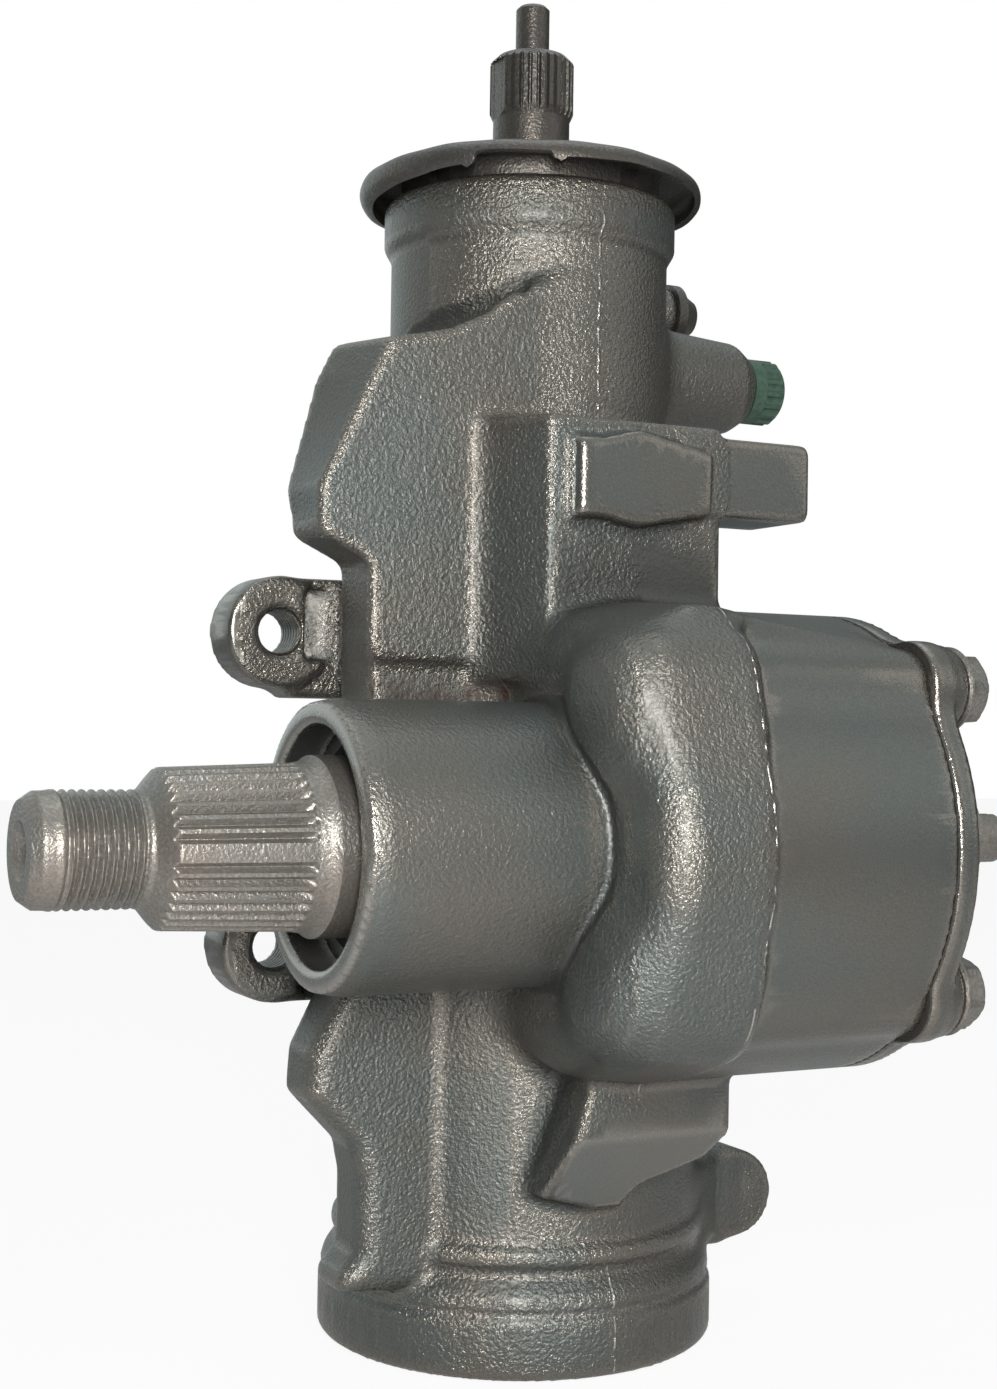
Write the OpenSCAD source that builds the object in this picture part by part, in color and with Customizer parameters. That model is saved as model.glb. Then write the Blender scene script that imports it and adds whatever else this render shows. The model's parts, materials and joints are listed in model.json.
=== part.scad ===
// Recirculating-ball power steering gearbox.
// +Z runs up the worm axis, the sector shaft lies along X with its output end at -X,
// and the origin is the centre of the bottom face.

/* [Gear train] */
// Distance from the worm axis to the sector axis
centre_distance = 50; // [49:0.5:52]
// Pitch radius of the sector gear
sector_pitch_r = 28.5; // [27.5:0.1:29]
// Module of the rack and the sector
gear_module = 5; // [4.6:0.1:5.1]
// Pressure angle of the rack and the sector
pressure_angle = 27; // [25:0.5:28]
// Play on each tooth flank
flank_play = 0.2; // [0.1:0.05:0.4]
// Turn of the sector either way from straight ahead, in degrees
sector_turn = 43; // [36:1:44]
// Face width of the sector teeth
sector_face_w = 38; // [32:1:38]
// Lead of the worm
worm_lead = 12.8; // [12:0.1:13.5]
// Radius of the circle that the ball centres run on
ball_circle_r = 11; // [10.5:0.1:11.3]
// Radius of one ball
ball_r = 3; // [2.6:0.1:3.1]
// Turns of balls under load
ball_turns = 2.5; // [1.5:1:2.5]

/* [Cylinder] */
// Radius of the piston bore
piston_bore_r = 35; // [34:0.5:37]
// Wall round the piston bore
cylinder_wall = 5; // [4:0.5:8]
// Wall of the bottom collar round the end plug
collar_wall = 6.9; // [5:0.1:9]
// Height of the bottom collar
collar_h = 12.4; // [9:0.1:16]
// Length of the rack piston below the sector axis
piston_below = 63.6; // [58:0.2:70]
// Length of the rack piston above the sector axis
piston_above = 62; // [60:0.5:70]
// Thickness of the end plug
end_plug_t = 10; // [7:0.5:14]
// Room between the end plug and the piston at full travel
end_room = 11.6; // [3:0.2:16]

/* [Valve end] */
// Radius of the valve bore
valve_bore_r = 22.3; // [21.5:0.1:23]
// Wall of the valve neck
neck_wall = 9.3; // [7:0.1:11]
// Length of the valve body
valve_body_len = 26; // [22:0.5:30]
// Outer radius of the dust shield
shield_r = 39.2; // [37:0.2:42]
// Radius of the splined end of the input shaft
input_spline_r = 9.62; // [9.4:0.02:10.2]
// Number of splines on the input shaft
input_splines = 30; // [20:1:36]
// Length of the input splines
input_spline_len = 11.2; // [8:0.2:16]
// Radius of the pilot on top of the input shaft
input_pilot_r = 3.86; // [3:0.02:5]
// Length of the input pilot
input_pilot_len = 12; // [8:0.5:18]

/* [Sector shaft] */
// Radius of the sector shaft journals
journal_r = 17.46; // [16.5:0.02:18]
// Outer radius of the sector boss
boss_r = 28.5; // [27:0.1:31]
// Distance from the worm axis to the end of the sector boss
boss_reach = 70.8; // [68:0.2:80]
// Radius of the output splines at the large end of their taper
output_spline_r = 15.86; // [15:0.02:16.8]
// Radius of the output splines at the small end of their taper
output_spline_tip_r = 15.04; // [14.5:0.02:15.4]
// Number of output splines
output_splines = 36; // [28:4:40]
// Length of the output splines
output_spline_len = 26.4; // [20:0.2:34]
// Outer radius of the nut thread on the output end
output_thread_r = 10.95; // [10:0.05:12]
// Length of the nut thread with its chamfers
output_thread_len = 25.2; // [18:0.2:30]

/* [Gear chamber] */
// Distance from the worm axis to the cover face
flange_reach = 45; // [44:0.5:50]
// Radius of the round part of the cover
cover_r = 48.6; // [47:0.2:51]
// Half the side of the square of cover bolts
bolt_half = 31; // [30:0.25:32]
// Radius of the cover bolt columns
column_r = 9.5; // [9:0.25:10.5]
// Radius of the cover bolt thread
bolt_r = 4.7; // [4:0.1:5]
// Reach of the lash adjuster screw from the worm axis
adjuster_reach = 95.5; // [92:0.5:100]

/* [Mounting ears] */
// Distance from the worm axis to the two ear holes beside the boss
ear_half_w = 61.2; // [60:0.2:66]
// Distance from the worm axis to the foot ear hole
ear_foot_w = 56; // [54:0.2:60]
// Height of the upper ear hole over the sector axis
ear_up = 43; // [40:0.5:48]
// Depth of the lower ear hole under the sector axis
ear_down = 24; // [22:0.5:32]
// Height of the foot ear hole over the bottom face
ear_foot_z = 25; // [20:0.5:30]
// Radius of the tapped ear holes
ear_hole_r = 4.7; // [3.5:0.1:5.5]
// Radius of the ears round their holes
ear_r = 11; // [9:0.1:12]
// Thickness of the ears
ear_t = 12; // [9:0.5:16]

/* [Clearances] */
// Radial clearance of running fits
fit = 0.05; // [0.03:0.01:0.08]
// Clearance between pieces that pass each other
gap = 0.3; // [0.2:0.05:0.5]

/* [Hidden] */
$fn = 64;

// Paint of the casting and bare colours of the inner pieces
paint = [0.33, 0.32, 0.30];
paint_light = [0.42, 0.41, 0.39];
steel = [0.62, 0.62, 0.63];
dark_steel = [0.36, 0.37, 0.39];
bronze = [0.72, 0.55, 0.30];
seal_black = [0.09, 0.09, 0.10];
plug_green = [0.05, 0.28, 0.16];

// Length by which a cutter passes the face that it opens
over = 1;

// Rack and sector: the rack follows the sector on their pitch lines
rack_pitch_y = centre_distance - sector_pitch_r;
travel = sector_pitch_r * sector_turn * PI / 180;
addendum = 0.9 * gear_module;
dedendum = 1.12 * gear_module;
sector_tip_r = sector_pitch_r + addendum;
sector_root_r = sector_pitch_r - dedendum;
sector_base_r = sector_pitch_r * cos(pressure_angle);
tooth_pitch = PI * gear_module;
tooth_pitch_angle = tooth_pitch / sector_pitch_r * 180 / PI;
sector_teeth = [-1, 0, 1];
rack_tip_y = rack_pitch_y + addendum;

// Levels of the lower end
ring_t = 1.6;
plug_recess = 5;
plug_top_z = plug_recess + end_plug_t;
sector_z = plug_top_z + end_room + travel + piston_below;
piston_low_z = sector_z - piston_below;
piston_top_z = sector_z + piston_above;

// Levels of the valve end, stacked upwards from the web above the piston
web_z = piston_top_z + travel + 2;
web_t = 4.5;
race_t = 1;
roller_r = 1.2;
bearing_t = 2 * roller_r + 0.1;
lower_fixed_z = web_z + web_t;
lower_bearing_z = lower_fixed_z + race_t;
lower_turning_z = lower_bearing_z + bearing_t + fit;
worm_flange_z = lower_turning_z + race_t;
worm_flange_t = 6;
valve_z = worm_flange_z + worm_flange_t;
valve_top_z = valve_z + valve_body_len;
upper_bearing_z = valve_top_z + race_t + fit;
upper_fixed_z = upper_bearing_z + bearing_t;
adjuster_z = upper_fixed_z + race_t;
adjuster_t = 17.4;
adjuster_top_z = adjuster_z + adjuster_t;
locknut_t = 5.4;
housing_top_z = adjuster_top_z - locknut_t - 0.6;
adjuster_thread_r = valve_bore_r + 2.7;
locknut_r = adjuster_thread_r + 4.6;

// Outside of the casting
cylinder_r = piston_bore_r + cylinder_wall;
plug_seat_r = piston_bore_r + 2.5;
collar_r = plug_seat_r + collar_wall;
neck_r = valve_bore_r + neck_wall;
band_r = neck_r + 1.7;
band_h = 13;
barrel_top_z = web_z + web_t;
edge = 1.5;
cast_edge = 3;
ridge_h = 4.8;

// Sector shaft along X
sector_x0 = -16.5;
sector_x1 = sector_x0 + sector_face_w;
cavity_r = sector_tip_r + 1.5;
cavity_x0 = sector_x0 - 1.5;
chamber_x0 = cavity_x0 - 1;
shoulder_x0 = cavity_x0 - 6.5;
shoulder_x1 = -2;
shoulder_r = cavity_r + 15.2;
bearing_wall = 3.5;
bearing_seat_r = journal_r + bearing_wall;
boss_chamfer = [4.3, 0.9];
seal_seat_r = journal_r + 5.94;
inner_seal_t = 6;
washer_t = 1.2;
outer_seal_t = 6;
seal_inset = 9;
seal_ring_x0 = -boss_reach + seal_inset;
outer_seal_x0 = seal_ring_x0 + ring_t;
washer_x0 = outer_seal_x0 + outer_seal_t;
inner_seal_x0 = washer_x0 + washer_t;
seal_x1 = inner_seal_x0 + inner_seal_t;
bearing_x0 = seal_x1 + 1;
bearing_x1 = cavity_x0 - 4;
bearing_len = bearing_x1 - bearing_x0;
output_x = -boss_reach - 4.2;
output_tip_x = output_x - output_spline_len;
thread_x = output_tip_x - 3.3;
output_end_x = thread_x - output_thread_len + 3.3;
journal_end_x = flange_reach - 1;

// Side cover and lash adjuster
gasket_t = 0.5;
cover_x0 = flange_reach + gasket_t;
cover_t = 3.6;
pad_t = 4.6;
cover_x1 = cover_x0 + cover_t;
pad_x1 = cover_x1 + pad_t;
bolt_head_t = 6.4;
bolt_flange_t = 1.8;
bolt_flange_r = 8.8;
bolt_hex_r = 7.7;
bolt_rise = 1.5;
bolt_x0 = sqrt(pow(piston_bore_r, 2) - pow(centre_distance - bolt_half - bolt_r, 2)) + 2.5;
bush_wall = 2.5;
bush_x0 = sector_x1 + 3;
bush_x1 = journal_end_x - 6;
cover_hub_r = journal_r + bush_wall + 4.5;
adjuster_hub_r = 14;
adjuster_hub_x1 = adjuster_reach - 17;
adjuster_r = 5.5;
adjuster_nut_t = 7.5;
adjuster_nut_r = 9.8;
adjuster_head_r = 8.4;
adjuster_head_t = 3.4;
adjuster_head_x0 = journal_end_x - 5.6;
shim_t = 0.8;

// Rack piston and ball screw
piston_r = piston_bore_r - fit;
ball_center_z = sector_z + 28.4;
ball_run = ball_turns * worm_lead;
nut_bore_r = ball_circle_r + ball_r + gap;
groove_r = ball_r + 0.35;
worm_r = ball_circle_r - 0.4;
worm_low_z = piston_low_z + 10 + travel + 2.6;
groove_z0 = ball_center_z - ball_run / 2 - travel - ball_r - 1;
groove_z1 = ball_center_z + ball_run / 2 + travel + ball_r + 1;
piston_plug_r = nut_bore_r - 0.4;
piston_plug_t = 10;
piston_groove_depth = 2.8;
piston_ring_w = 3;
piston_ring_z = piston_low_z + 9;
guide_r = ball_r + 1;
guide_y = 27;
pocket_y = guide_y - guide_r - 1;
clamp_t = 1.6;
clamp_y = guide_y + guide_r + 0.1;
clamp_screw = [5, 9];
clamp_screw_r = 2;
clamp_head_t = 0.9;
leg_r = guide_r + 0.2;
leg_y = sqrt(pow(worm_r, 2) - pow(ball_circle_r - leg_r, 2)) + gap;

// Rotary valve
stub_r = 9.4;
spool_r = 12.2;
valve_ring_depth = 1.7;
valve_ring_w = 2;
spool_z0 = valve_z + 1;
spool_z1 = valve_top_z - 1;
drive_pin_z = valve_z + 8;
drive_pin_r = 1.5;
bar_r = 2.6;
bar_end_r = 3.4 - fit;
bar_hole_r = 3.4;
bar_top_z = drive_pin_z + 8;
stub_neck_r = 8.8;
shield_z = housing_top_z + 2.4;
spline_z = shield_z + 19.8;
pilot_z = spline_z + input_spline_len + 1.6;

// Pockets of the adjuster plug, from the bottom upwards
plug_bearing_t = 5;
plug_seal_t = 4;
plug_dust_t = 2;
plug_bearing_r = stub_r + 3.4;
plug_seal_r = stub_r + 4.6;
plug_seal_z = adjuster_top_z - plug_seal_t - plug_dust_t - 3.4;
plug_dust_z = plug_seal_z + plug_seal_t;
plug_ring_z = plug_dust_z + plug_dust_t;

// Ports
port_z = valve_z + 5.6;
port_r = 10.4;
port_bore_r = 6.2;
port_reach = 58;
return_y = 17;
return_z = valve_top_z - 0.2;
return_r = 6.6;
plug_stem = 9;
return_bore_r = 4.2;
return_reach = 47;
seat_t = 4;

// Plate features of the casting
wing_t = 14;
wing_y = neck_r - 0.8;
low_wing_y = 22;
block_y = cylinder_r + 7.5;
pad_proud = 2;

// A ring about the worm axis
module ring(outer, inner, z0, z1) {
    translate([0, 0, z0])
        difference() {
            cylinder(h = z1 - z0, r = outer);
            translate([0, 0, -over]) cylinder(h = z1 - z0 + 2 * over, r = inner);
        }
}

// A rod about the worm axis
module rod(radius, z0, z1) {
    translate([0, 0, z0]) cylinder(h = z1 - z0, r = radius);
}

// Local x, y, z run along Y, Z, X from the sector axis
module sector_frame(x) {
    translate([x, -centre_distance, sector_z]) rotate([90, 0, 90]) children();
}

// A rod about the sector axis, or a cone with a second radius
module sector_rod(x0, x1, radius, end_radius = undef) {
    sector_frame(x0)
        cylinder(h = x1 - x0, r1 = radius, r2 = is_undef(end_radius) ? radius : end_radius);
}

// A ring about the sector axis
module sector_ring(x0, x1, outer, inner) {
    difference() {
        sector_rod(x0, x1, outer);
        sector_rod(x0 - over, x1 + over, inner);
    }
}

// A prism along Y from an outline in X and Z
module plate(y0, y1) {
    translate([0, y1, 0]) rotate([90, 0, 0]) linear_extrude(y1 - y0) children();
}

// A rod along X at a given Y and Z
module cross_rod(x0, x1, y, z, radius, end_radius = undef) {
    translate([x0, y, z])
        rotate([0, 90, 0])
        cylinder(h = x1 - x0, r1 = radius, r2 = is_undef(end_radius) ? radius : end_radius);
}

// The four corners of the cover bolt square
module at_bolts() {
    for (side_y = [-1, 1], side_z = [-1, 1])
        translate([side_y * bolt_half, side_z * bolt_half + bolt_rise]) children();
}

// Rounded square round the cover bolts
module bolt_square() {
    flat = bolt_half + column_r - 0.4;
    translate([0, bolt_rise]) square([2 * bolt_half, 2 * flat], center = true);
    translate([0, bolt_rise]) square([2 * flat, 2 * bolt_half], center = true);
    at_bolts() circle(column_r);
}

// Outline of the cover face: a disc with the rounded square behind it
module cover_outline() {
    circle(cover_r);
    bolt_square();
}

// Cylinder, bottom collar and valve neck of the casting, turned about the worm axis
module barrel() {
    rotate_extrude()
        polygon([
            [0, 0],
            [collar_r - edge, 0],
            [collar_r, edge],
            [collar_r, collar_h],
            [collar_r - edge, collar_h + ridge_h],
            [cylinder_r + edge, collar_h + 2 * ridge_h],
            [cylinder_r + edge, collar_h + 3 * ridge_h],
            [cylinder_r, collar_h + 3 * ridge_h + edge],
            [cylinder_r, barrel_top_z - 2 * cast_edge],
            [cylinder_r - cast_edge, barrel_top_z - cast_edge],
            [neck_r, barrel_top_z - edge / 2],
            [neck_r, housing_top_z - band_h],
            [band_r, housing_top_z - band_h + cast_edge],
            [band_r, housing_top_z - edge],
            [band_r - edge, housing_top_z],
            [0, housing_top_z]
        ]);
}

// Round shoulder between boss and chamber: a quarter ellipse turned about the sector axis
module shoulder() {
    steps = 9;
    run = shoulder_x1 - shoulder_x0;
    rise = shoulder_r - boss_r + cast_edge;
    sector_frame(0)
        rotate_extrude()
        polygon(concat(
            [[0, shoulder_x0]],
            [for (i = [0 : steps])
                [boss_r - cast_edge + rise * sin(90 * i / steps), shoulder_x1 - run * cos(90 * i / steps)]],
            [[cover_r, flange_reach], [0, flange_reach]]
        ));
}

// Gear chamber: the cover's outline with its disc coned off at the left, and a roof that falls towards the cover
module chamber() {
    roof_rise = 5.6;
    roof_half = 31;
    roof_top = bolt_half + bolt_rise + column_r;
    cone_run = 6;
    shoulder();
    sector_frame(chamber_x0) linear_extrude(flange_reach - chamber_x0) bolt_square();
    sector_rod(chamber_x0, chamber_x0 + cone_run, cover_r - cone_run, cover_r);
    sector_rod(chamber_x0 + cone_run - over, flange_reach, cover_r);
    translate([0, -centre_distance, sector_z])
        plate(-roof_half, roof_half)
        polygon([
            [chamber_x0 + 2, bolt_half],
            [chamber_x0 + 6, roof_top + roof_rise - 4],
            [chamber_x0 + 13, roof_top + roof_rise],
            [0, roof_top + roof_rise],
            [flange_reach - 4, roof_top - 0.8],
            [flange_reach - 4, bolt_half]
        ]);
}

// Wings beside the valve neck and under the boss, with the rib down to the collar
module wings() {
    up = sector_z;
    reach = ear_half_w + 1.6;
    waist = reach - 11.4;
    rib = reach - 16.8;
    low_reach = ear_half_w - 1.2;
    plate(-wing_y, wing_t - wing_y)
        polygon([
            [0, up + 25],
            [-waist, up + 25],
            [-waist, up + 57],
            [-reach, up + 62.4],
            [-reach, up + 72],
            [-47.4, barrel_top_z + 13.5],
            [-31, barrel_top_z + 22.5],
            [-18, barrel_top_z + 27],
            [-6, barrel_top_z + 31],
            [0, barrel_top_z + 31]
        ]);
    plate(-low_wing_y, wing_t - low_wing_y)
        polygon([
            [-20, up - 26],
            [-46, up - 26],
            [-54, up - 33],
            [-low_reach, up - 46],
            [-low_reach, up - 56],
            [-rib - 2.5, up - 65],
            [-rib, up - 71],
            [-rib + 1, collar_h + 2],
            [-20, collar_h + 2]
        ]);
}

// Front block over the chamber with its raised pad, and the arm beside it
module front_block() {
    z0 = sector_z + 40;
    z1 = barrel_top_z - 2;
    pad_z0 = sector_z + 68;
    translate([0, 0, z0])
        linear_extrude(z1 - z0)
        polygon([[-27, -wing_y], [-19, -block_y], [22.7, -block_y], [22.7, 0], [-27, 0]]);
    plate(-block_y - pad_proud, 0)
        polygon([
            [-12.5, pad_z0 + 0.8], [0.6, pad_z0 - 2], [18.2, pad_z0 + 1.8],
            [18.6, z1 - 4.2], [-1.7, z1 - 0.8], [-12.7, z1 - 4]
        ]);
    plate(-block_y + 3, -block_y + 20)
        polygon([
            [0, pad_z0 + 1.5], [45, pad_z0 + 1.5], [46.5, pad_z0 + 3],
            [46.5, z1 - 3.5], [45, z1 - 2], [0, z1 - 2]
        ]);
}

// Angled pad under the chamber, cut off obliquely in front
module lower_pad() {
    drop = 75.6;
    low = sector_z - drop;
    front = 52;
    tilt = 32;
    block = 80;
    difference() {
        plate(-front, 0)
            polygon([
                [-17, low + 2.8], [-3.8, low - 1], [3.4, low - 1], [6, low + 3.6], [20, low + 9],
                [24, low + 15], [24, low + 40], [-9.2, low + 40], [-10.3, low + 24.4]
            ]);
        translate([0, -front, low + 13])
            rotate([-tilt, 0, 0]) translate([-block / 2, -block, -block]) cube(block);
    }
}

// An ear along Y about a hole centre, with an arm that reaches back to the cylinder
module ear(x, z, radius, arm_z0, arm_z1) {
    inner_x = sign(x) * (cylinder_r - 12);
    plate(-ear_t / 2, ear_t / 2) translate([x, z]) circle(radius);
    plate(-ear_t / 2 + 1.5, ear_t / 2)
        polygon([[x, z + radius - 0.2], [x, z - radius + 0.2], [inner_x, arm_z0], [inner_x, arm_z1]]);
}

// The three ears and the foot webs that carry them
module ears() {
    foot_r = ear_r - 0.8;
    web_x = cylinder_r + 2;
    web_y = 14;
    upper_z = sector_z + ear_up;
    lower_z = sector_z - ear_down;
    ear(-ear_half_w, upper_z, ear_r, upper_z - 16, upper_z + 12);
    ear(-ear_half_w, lower_z, ear_r, lower_z - 12, lower_z + 16);
    ear(ear_foot_w, ear_foot_z, foot_r, ear_foot_z - 12, ear_foot_z + 16);
    translate([0, 0, ear_foot_z - foot_r])
        linear_extrude(2 * foot_r)
        polygon([
            [web_x - web_y, -web_y * 2], [web_x, -web_y], [ear_foot_w, -ear_t / 2],
            [ear_foot_w, 0], [web_x - web_y, 0]
        ]);
}

// Bosses of the two hose ports
module port_bosses() {
    nose = 4.5;
    cross_rod(0, port_reach - nose, 0, port_z, port_r + 4.6, port_r + 0.4);
    cross_rod(port_reach - nose, port_reach, 0, port_z, port_r + 0.4, port_r - 2.6);
    cross_rod(0, return_reach, return_y, return_z, return_r + 1.4, return_r);
}

module ear_holes() {
    upper_z = sector_z + ear_up;
    lower_z = sector_z - ear_down;
    plate(-ear_t, ear_t) translate([-ear_half_w, upper_z]) circle(ear_hole_r);
    plate(-ear_t, ear_t) translate([-ear_half_w, lower_z]) circle(ear_hole_r);
    plate(2.5 - ear_t / 2, ear_t) translate([ear_foot_w, ear_foot_z]) circle(ear_hole_r);
}

// Round boss of the sector shaft, with a long shallow chamfer at its end
module sector_boss() {
    sector_rod(-boss_reach, -boss_reach + boss_chamfer[0], boss_r - boss_chamfer[1], boss_r);
    sector_rod(-boss_reach + boss_chamfer[0], 0, boss_r);
}

module gear_housing() {
    color(paint)
    difference() {
        union() {
            barrel();
            sector_boss();
            chamber();
            wings();
            front_block();
            lower_pad();
            ears();
            port_bosses();
        }
        // Bores along the worm axis
        rod(plug_seat_r, -over, plug_top_z);
        rod(plug_seat_r + 2, plug_recess - ring_t - 0.1, plug_recess);
        rod(piston_bore_r, plug_top_z - over, web_z);
        rod(valve_bore_r - 6.5, web_z - over, lower_fixed_z + over);
        rod(valve_bore_r, lower_fixed_z, adjuster_z + over);
        rod(adjuster_thread_r, adjuster_z, housing_top_z + over);
        // Bores along the sector axis
        sector_rod(cavity_x0, flange_reach + over, cavity_r);
        sector_rod(seal_x1 - over, cavity_x0 + over, bearing_seat_r);
        sector_rod(-boss_reach - over, seal_x1, seal_seat_r);
        sector_rod(seal_ring_x0 - 0.1, outer_seal_x0, seal_seat_r + 1.5);
        sector_frame(bolt_x0) at_bolts() cylinder(h = flange_reach - bolt_x0 + over, r = bolt_r + fit);
        // Ports and ear holes
        cross_rod(valve_bore_r - 3, port_reach + over, 0, port_z, port_bore_r);
        cross_rod(10, return_reach + over, return_y, return_z, return_bore_r);
        ear_holes();
    }
}

module end_plug() {
    groove = 2.6;
    color(dark_steel)
    difference() {
        rod(plug_seat_r - fit, plug_recess, plug_top_z);
        ring(plug_seat_r + over, plug_seat_r - groove, plug_recess + 3, plug_recess + 3 + groove);
        rod(plug_seat_r - 9, plug_recess - over, plug_recess + 3);
    }
}

module end_plug_seal() {
    groove = 2.6;
    color(seal_black)
    ring(plug_seat_r - fit, plug_seat_r - groove + fit,
        plug_recess + 3 + fit, plug_recess + 3 + groove - fit);
}

// A split ring about the worm axis
module split_ring(outer, inner, z0, z1, mouth) {
    difference() {
        ring(outer, inner, z0, z1);
        translate([0, -mouth / 2, z0 - over]) cube([outer + over, mouth, z1 - z0 + 2 * over]);
    }
}

module end_plug_retaining_ring() {
    color(steel)
    split_ring(plug_seat_r + 1.8, plug_seat_r - 2.2, plug_recess - ring_t - fit, plug_recess - fit, 9);
}

module side_cover() {
    spigot_t = 7;
    dome_x1 = cover_x1 + 6;
    color(paint)
    difference() {
        union() {
            sector_frame(cover_x0) linear_extrude(cover_t) cover_outline();
            sector_frame(cover_x0) at_bolts() cylinder(h = cover_t + pad_t, r = column_r - 0.4);
            sector_rod(cover_x1 - over, dome_x1, cavity_r, adjuster_hub_r + 6);
            sector_rod(dome_x1 - over, adjuster_hub_x1, adjuster_hub_r + 2, adjuster_hub_r - 2);
            sector_rod(cover_x0 - spigot_t, cover_x0 + over, cavity_r - 0.1);
            sector_rod(bush_x0, cover_x0 + over, cover_hub_r);
        }
        sector_rod(bush_x0 - over, journal_end_x + 1.5, journal_r + bush_wall);
        sector_rod(journal_end_x, adjuster_hub_x1 + over, adjuster_r + fit);
        sector_frame(cover_x0 - over) at_bolts() cylinder(h = cover_t + pad_t + 2 * over, r = bolt_r + gap);
    }
}

module side_cover_gasket() {
    color(seal_black)
    sector_frame(flange_reach)
        linear_extrude(gasket_t)
        difference() {
            cover_outline();
            circle(cavity_r);
            at_bolts() circle(bolt_r + gap);
        }
}

module side_cover_bolts() {
    tip_room = 1;
    color(paint_light)
    sector_frame(pad_x1)
        at_bolts() {
            translate([0, 0, bolt_x0 + tip_room - pad_x1])
                cylinder(h = pad_x1 - bolt_x0 - tip_room + over, r = bolt_r);
            cylinder(h = bolt_flange_t, r = bolt_flange_r);
            cylinder(h = bolt_head_t, r = bolt_hex_r, $fn = 6);
        }
}

module side_cover_bush() {
    color(bronze)
    sector_ring(bush_x0 + 0.5, bush_x1, journal_r + bush_wall - fit, journal_r + fit);
}

module lash_adjuster_screw() {
    slot_w = 1.8;
    color(steel)
    difference() {
        union() {
            sector_rod(adjuster_head_x0, adjuster_head_x0 + adjuster_head_t, adjuster_head_r);
            sector_rod(adjuster_head_x0 + over, adjuster_reach - 1, adjuster_r);
            sector_rod(adjuster_reach - 1, adjuster_reach, adjuster_r, adjuster_r - 1);
        }
        sector_frame(adjuster_reach - 2.5)
            translate([-slot_w / 2, -adjuster_r - over, 0]) cube([slot_w, 2 * (adjuster_r + over), 4]);
    }
}

module lash_adjuster_shim() {
    color(steel)
    sector_ring(adjuster_head_x0 + adjuster_head_t, adjuster_head_x0 + adjuster_head_t + shim_t,
        adjuster_head_r, adjuster_r + fit);
}

module lash_adjuster_locknut() {
    color(paint_light)
    difference() {
        sector_frame(adjuster_hub_x1) cylinder(h = adjuster_nut_t, r = adjuster_nut_r, $fn = 6);
        sector_rod(adjuster_hub_x1 - over, adjuster_hub_x1 + adjuster_nut_t + over, adjuster_r + fit);
    }
}

// Involute function, and half the angle of a sector tooth at a radius
function involute(angle) = tan(angle) * 180 / PI - angle;
function tooth_half_angle(radius) =
    (tooth_pitch / 4 - flank_play) / sector_pitch_r * 180 / PI + involute(pressure_angle)
    - involute(acos(min(1, sector_base_r / radius)));
function on_circle(radius, angle) = [radius * cos(angle), radius * sin(angle)];

// One sector tooth: involute flanks from the base circle to the tip, straight below
module sector_tooth() {
    steps = 5;
    flank = [for (i = [0 : steps]) sector_base_r + (sector_tip_r - sector_base_r) * i / steps];
    low = sector_root_r - 3;
    foot = tooth_half_angle(sector_base_r);
    polygon(concat(
        [on_circle(low, -foot)],
        [for (radius = flank) on_circle(radius, -tooth_half_angle(radius))],
        [for (i = [steps : -1 : 0]) on_circle(flank[i], tooth_half_angle(flank[i]))],
        [on_circle(low, foot)]
    ));
}

// A V groove along a taper on the local x axis of the sector frame
module output_spline_groove() {
    depth = 1.15;
    half_w = PI * output_spline_tip_r / output_splines * 0.62;
    lean = atan((output_spline_r - output_spline_tip_r) / output_spline_len);
    // The sector frame's z runs towards +X, so the grooves start at the small end
    translate([output_spline_tip_r, 0, -over])
        rotate([0, lean, 0])
        linear_extrude(output_spline_len + over)
        polygon([[-depth, -0.25], [0.6, -half_w], [0.6, half_w], [-depth, 0.25]]);
}

module sector_shaft() {
    slot_half = adjuster_head_r + 0.4;
    neck_half = adjuster_r + 0.6;
    slot_t = adjuster_head_t + shim_t + 0.4;
    slot_x0 = adjuster_head_x0 - 0.2;
    slot_reach = journal_r + over;
    master = output_splines / 4;
    chamfer = 2.2;
    color(paint_light)
    difference() {
        union() {
            sector_frame(sector_x0)
                linear_extrude(sector_face_w)
                for (index = sector_teeth) rotate(index * tooth_pitch_angle) sector_tooth();
            sector_rod(sector_x0, sector_x1, sector_root_r);
            sector_rod(-boss_reach - 1, journal_end_x, journal_r);
            sector_rod(output_x, -boss_reach, journal_r - 1);
            difference() {
                sector_rod(output_tip_x, output_x + over, output_spline_tip_r, output_spline_r);
                sector_frame(output_tip_x)
                    for (i = [0 : output_splines - 1])
                    if (i % master != 0) rotate(i * 360 / output_splines) output_spline_groove();
            }
            sector_rod(thread_x, output_tip_x, output_thread_r + 0.6, output_spline_tip_r - 1.3);
            sector_rod(output_end_x + chamfer, thread_x, output_thread_r);
            sector_rod(output_end_x, output_end_x + chamfer, output_thread_r - 1.8, output_thread_r);
        }
        sector_rod(output_end_x - over, output_end_x + 8, 3.1);
        sector_rod(output_end_x - 0.01, output_end_x + 3.2, 5.4, 3);
        sector_frame(slot_x0)
            translate([-slot_half, -slot_reach, 0]) cube([2 * slot_half, 2 * slot_reach, slot_t]);
        sector_frame(slot_x0 + slot_t - over)
            translate([-neck_half, -slot_reach, 0]) cube([2 * neck_half, 2 * slot_reach, 6]);
    }
}

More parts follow.
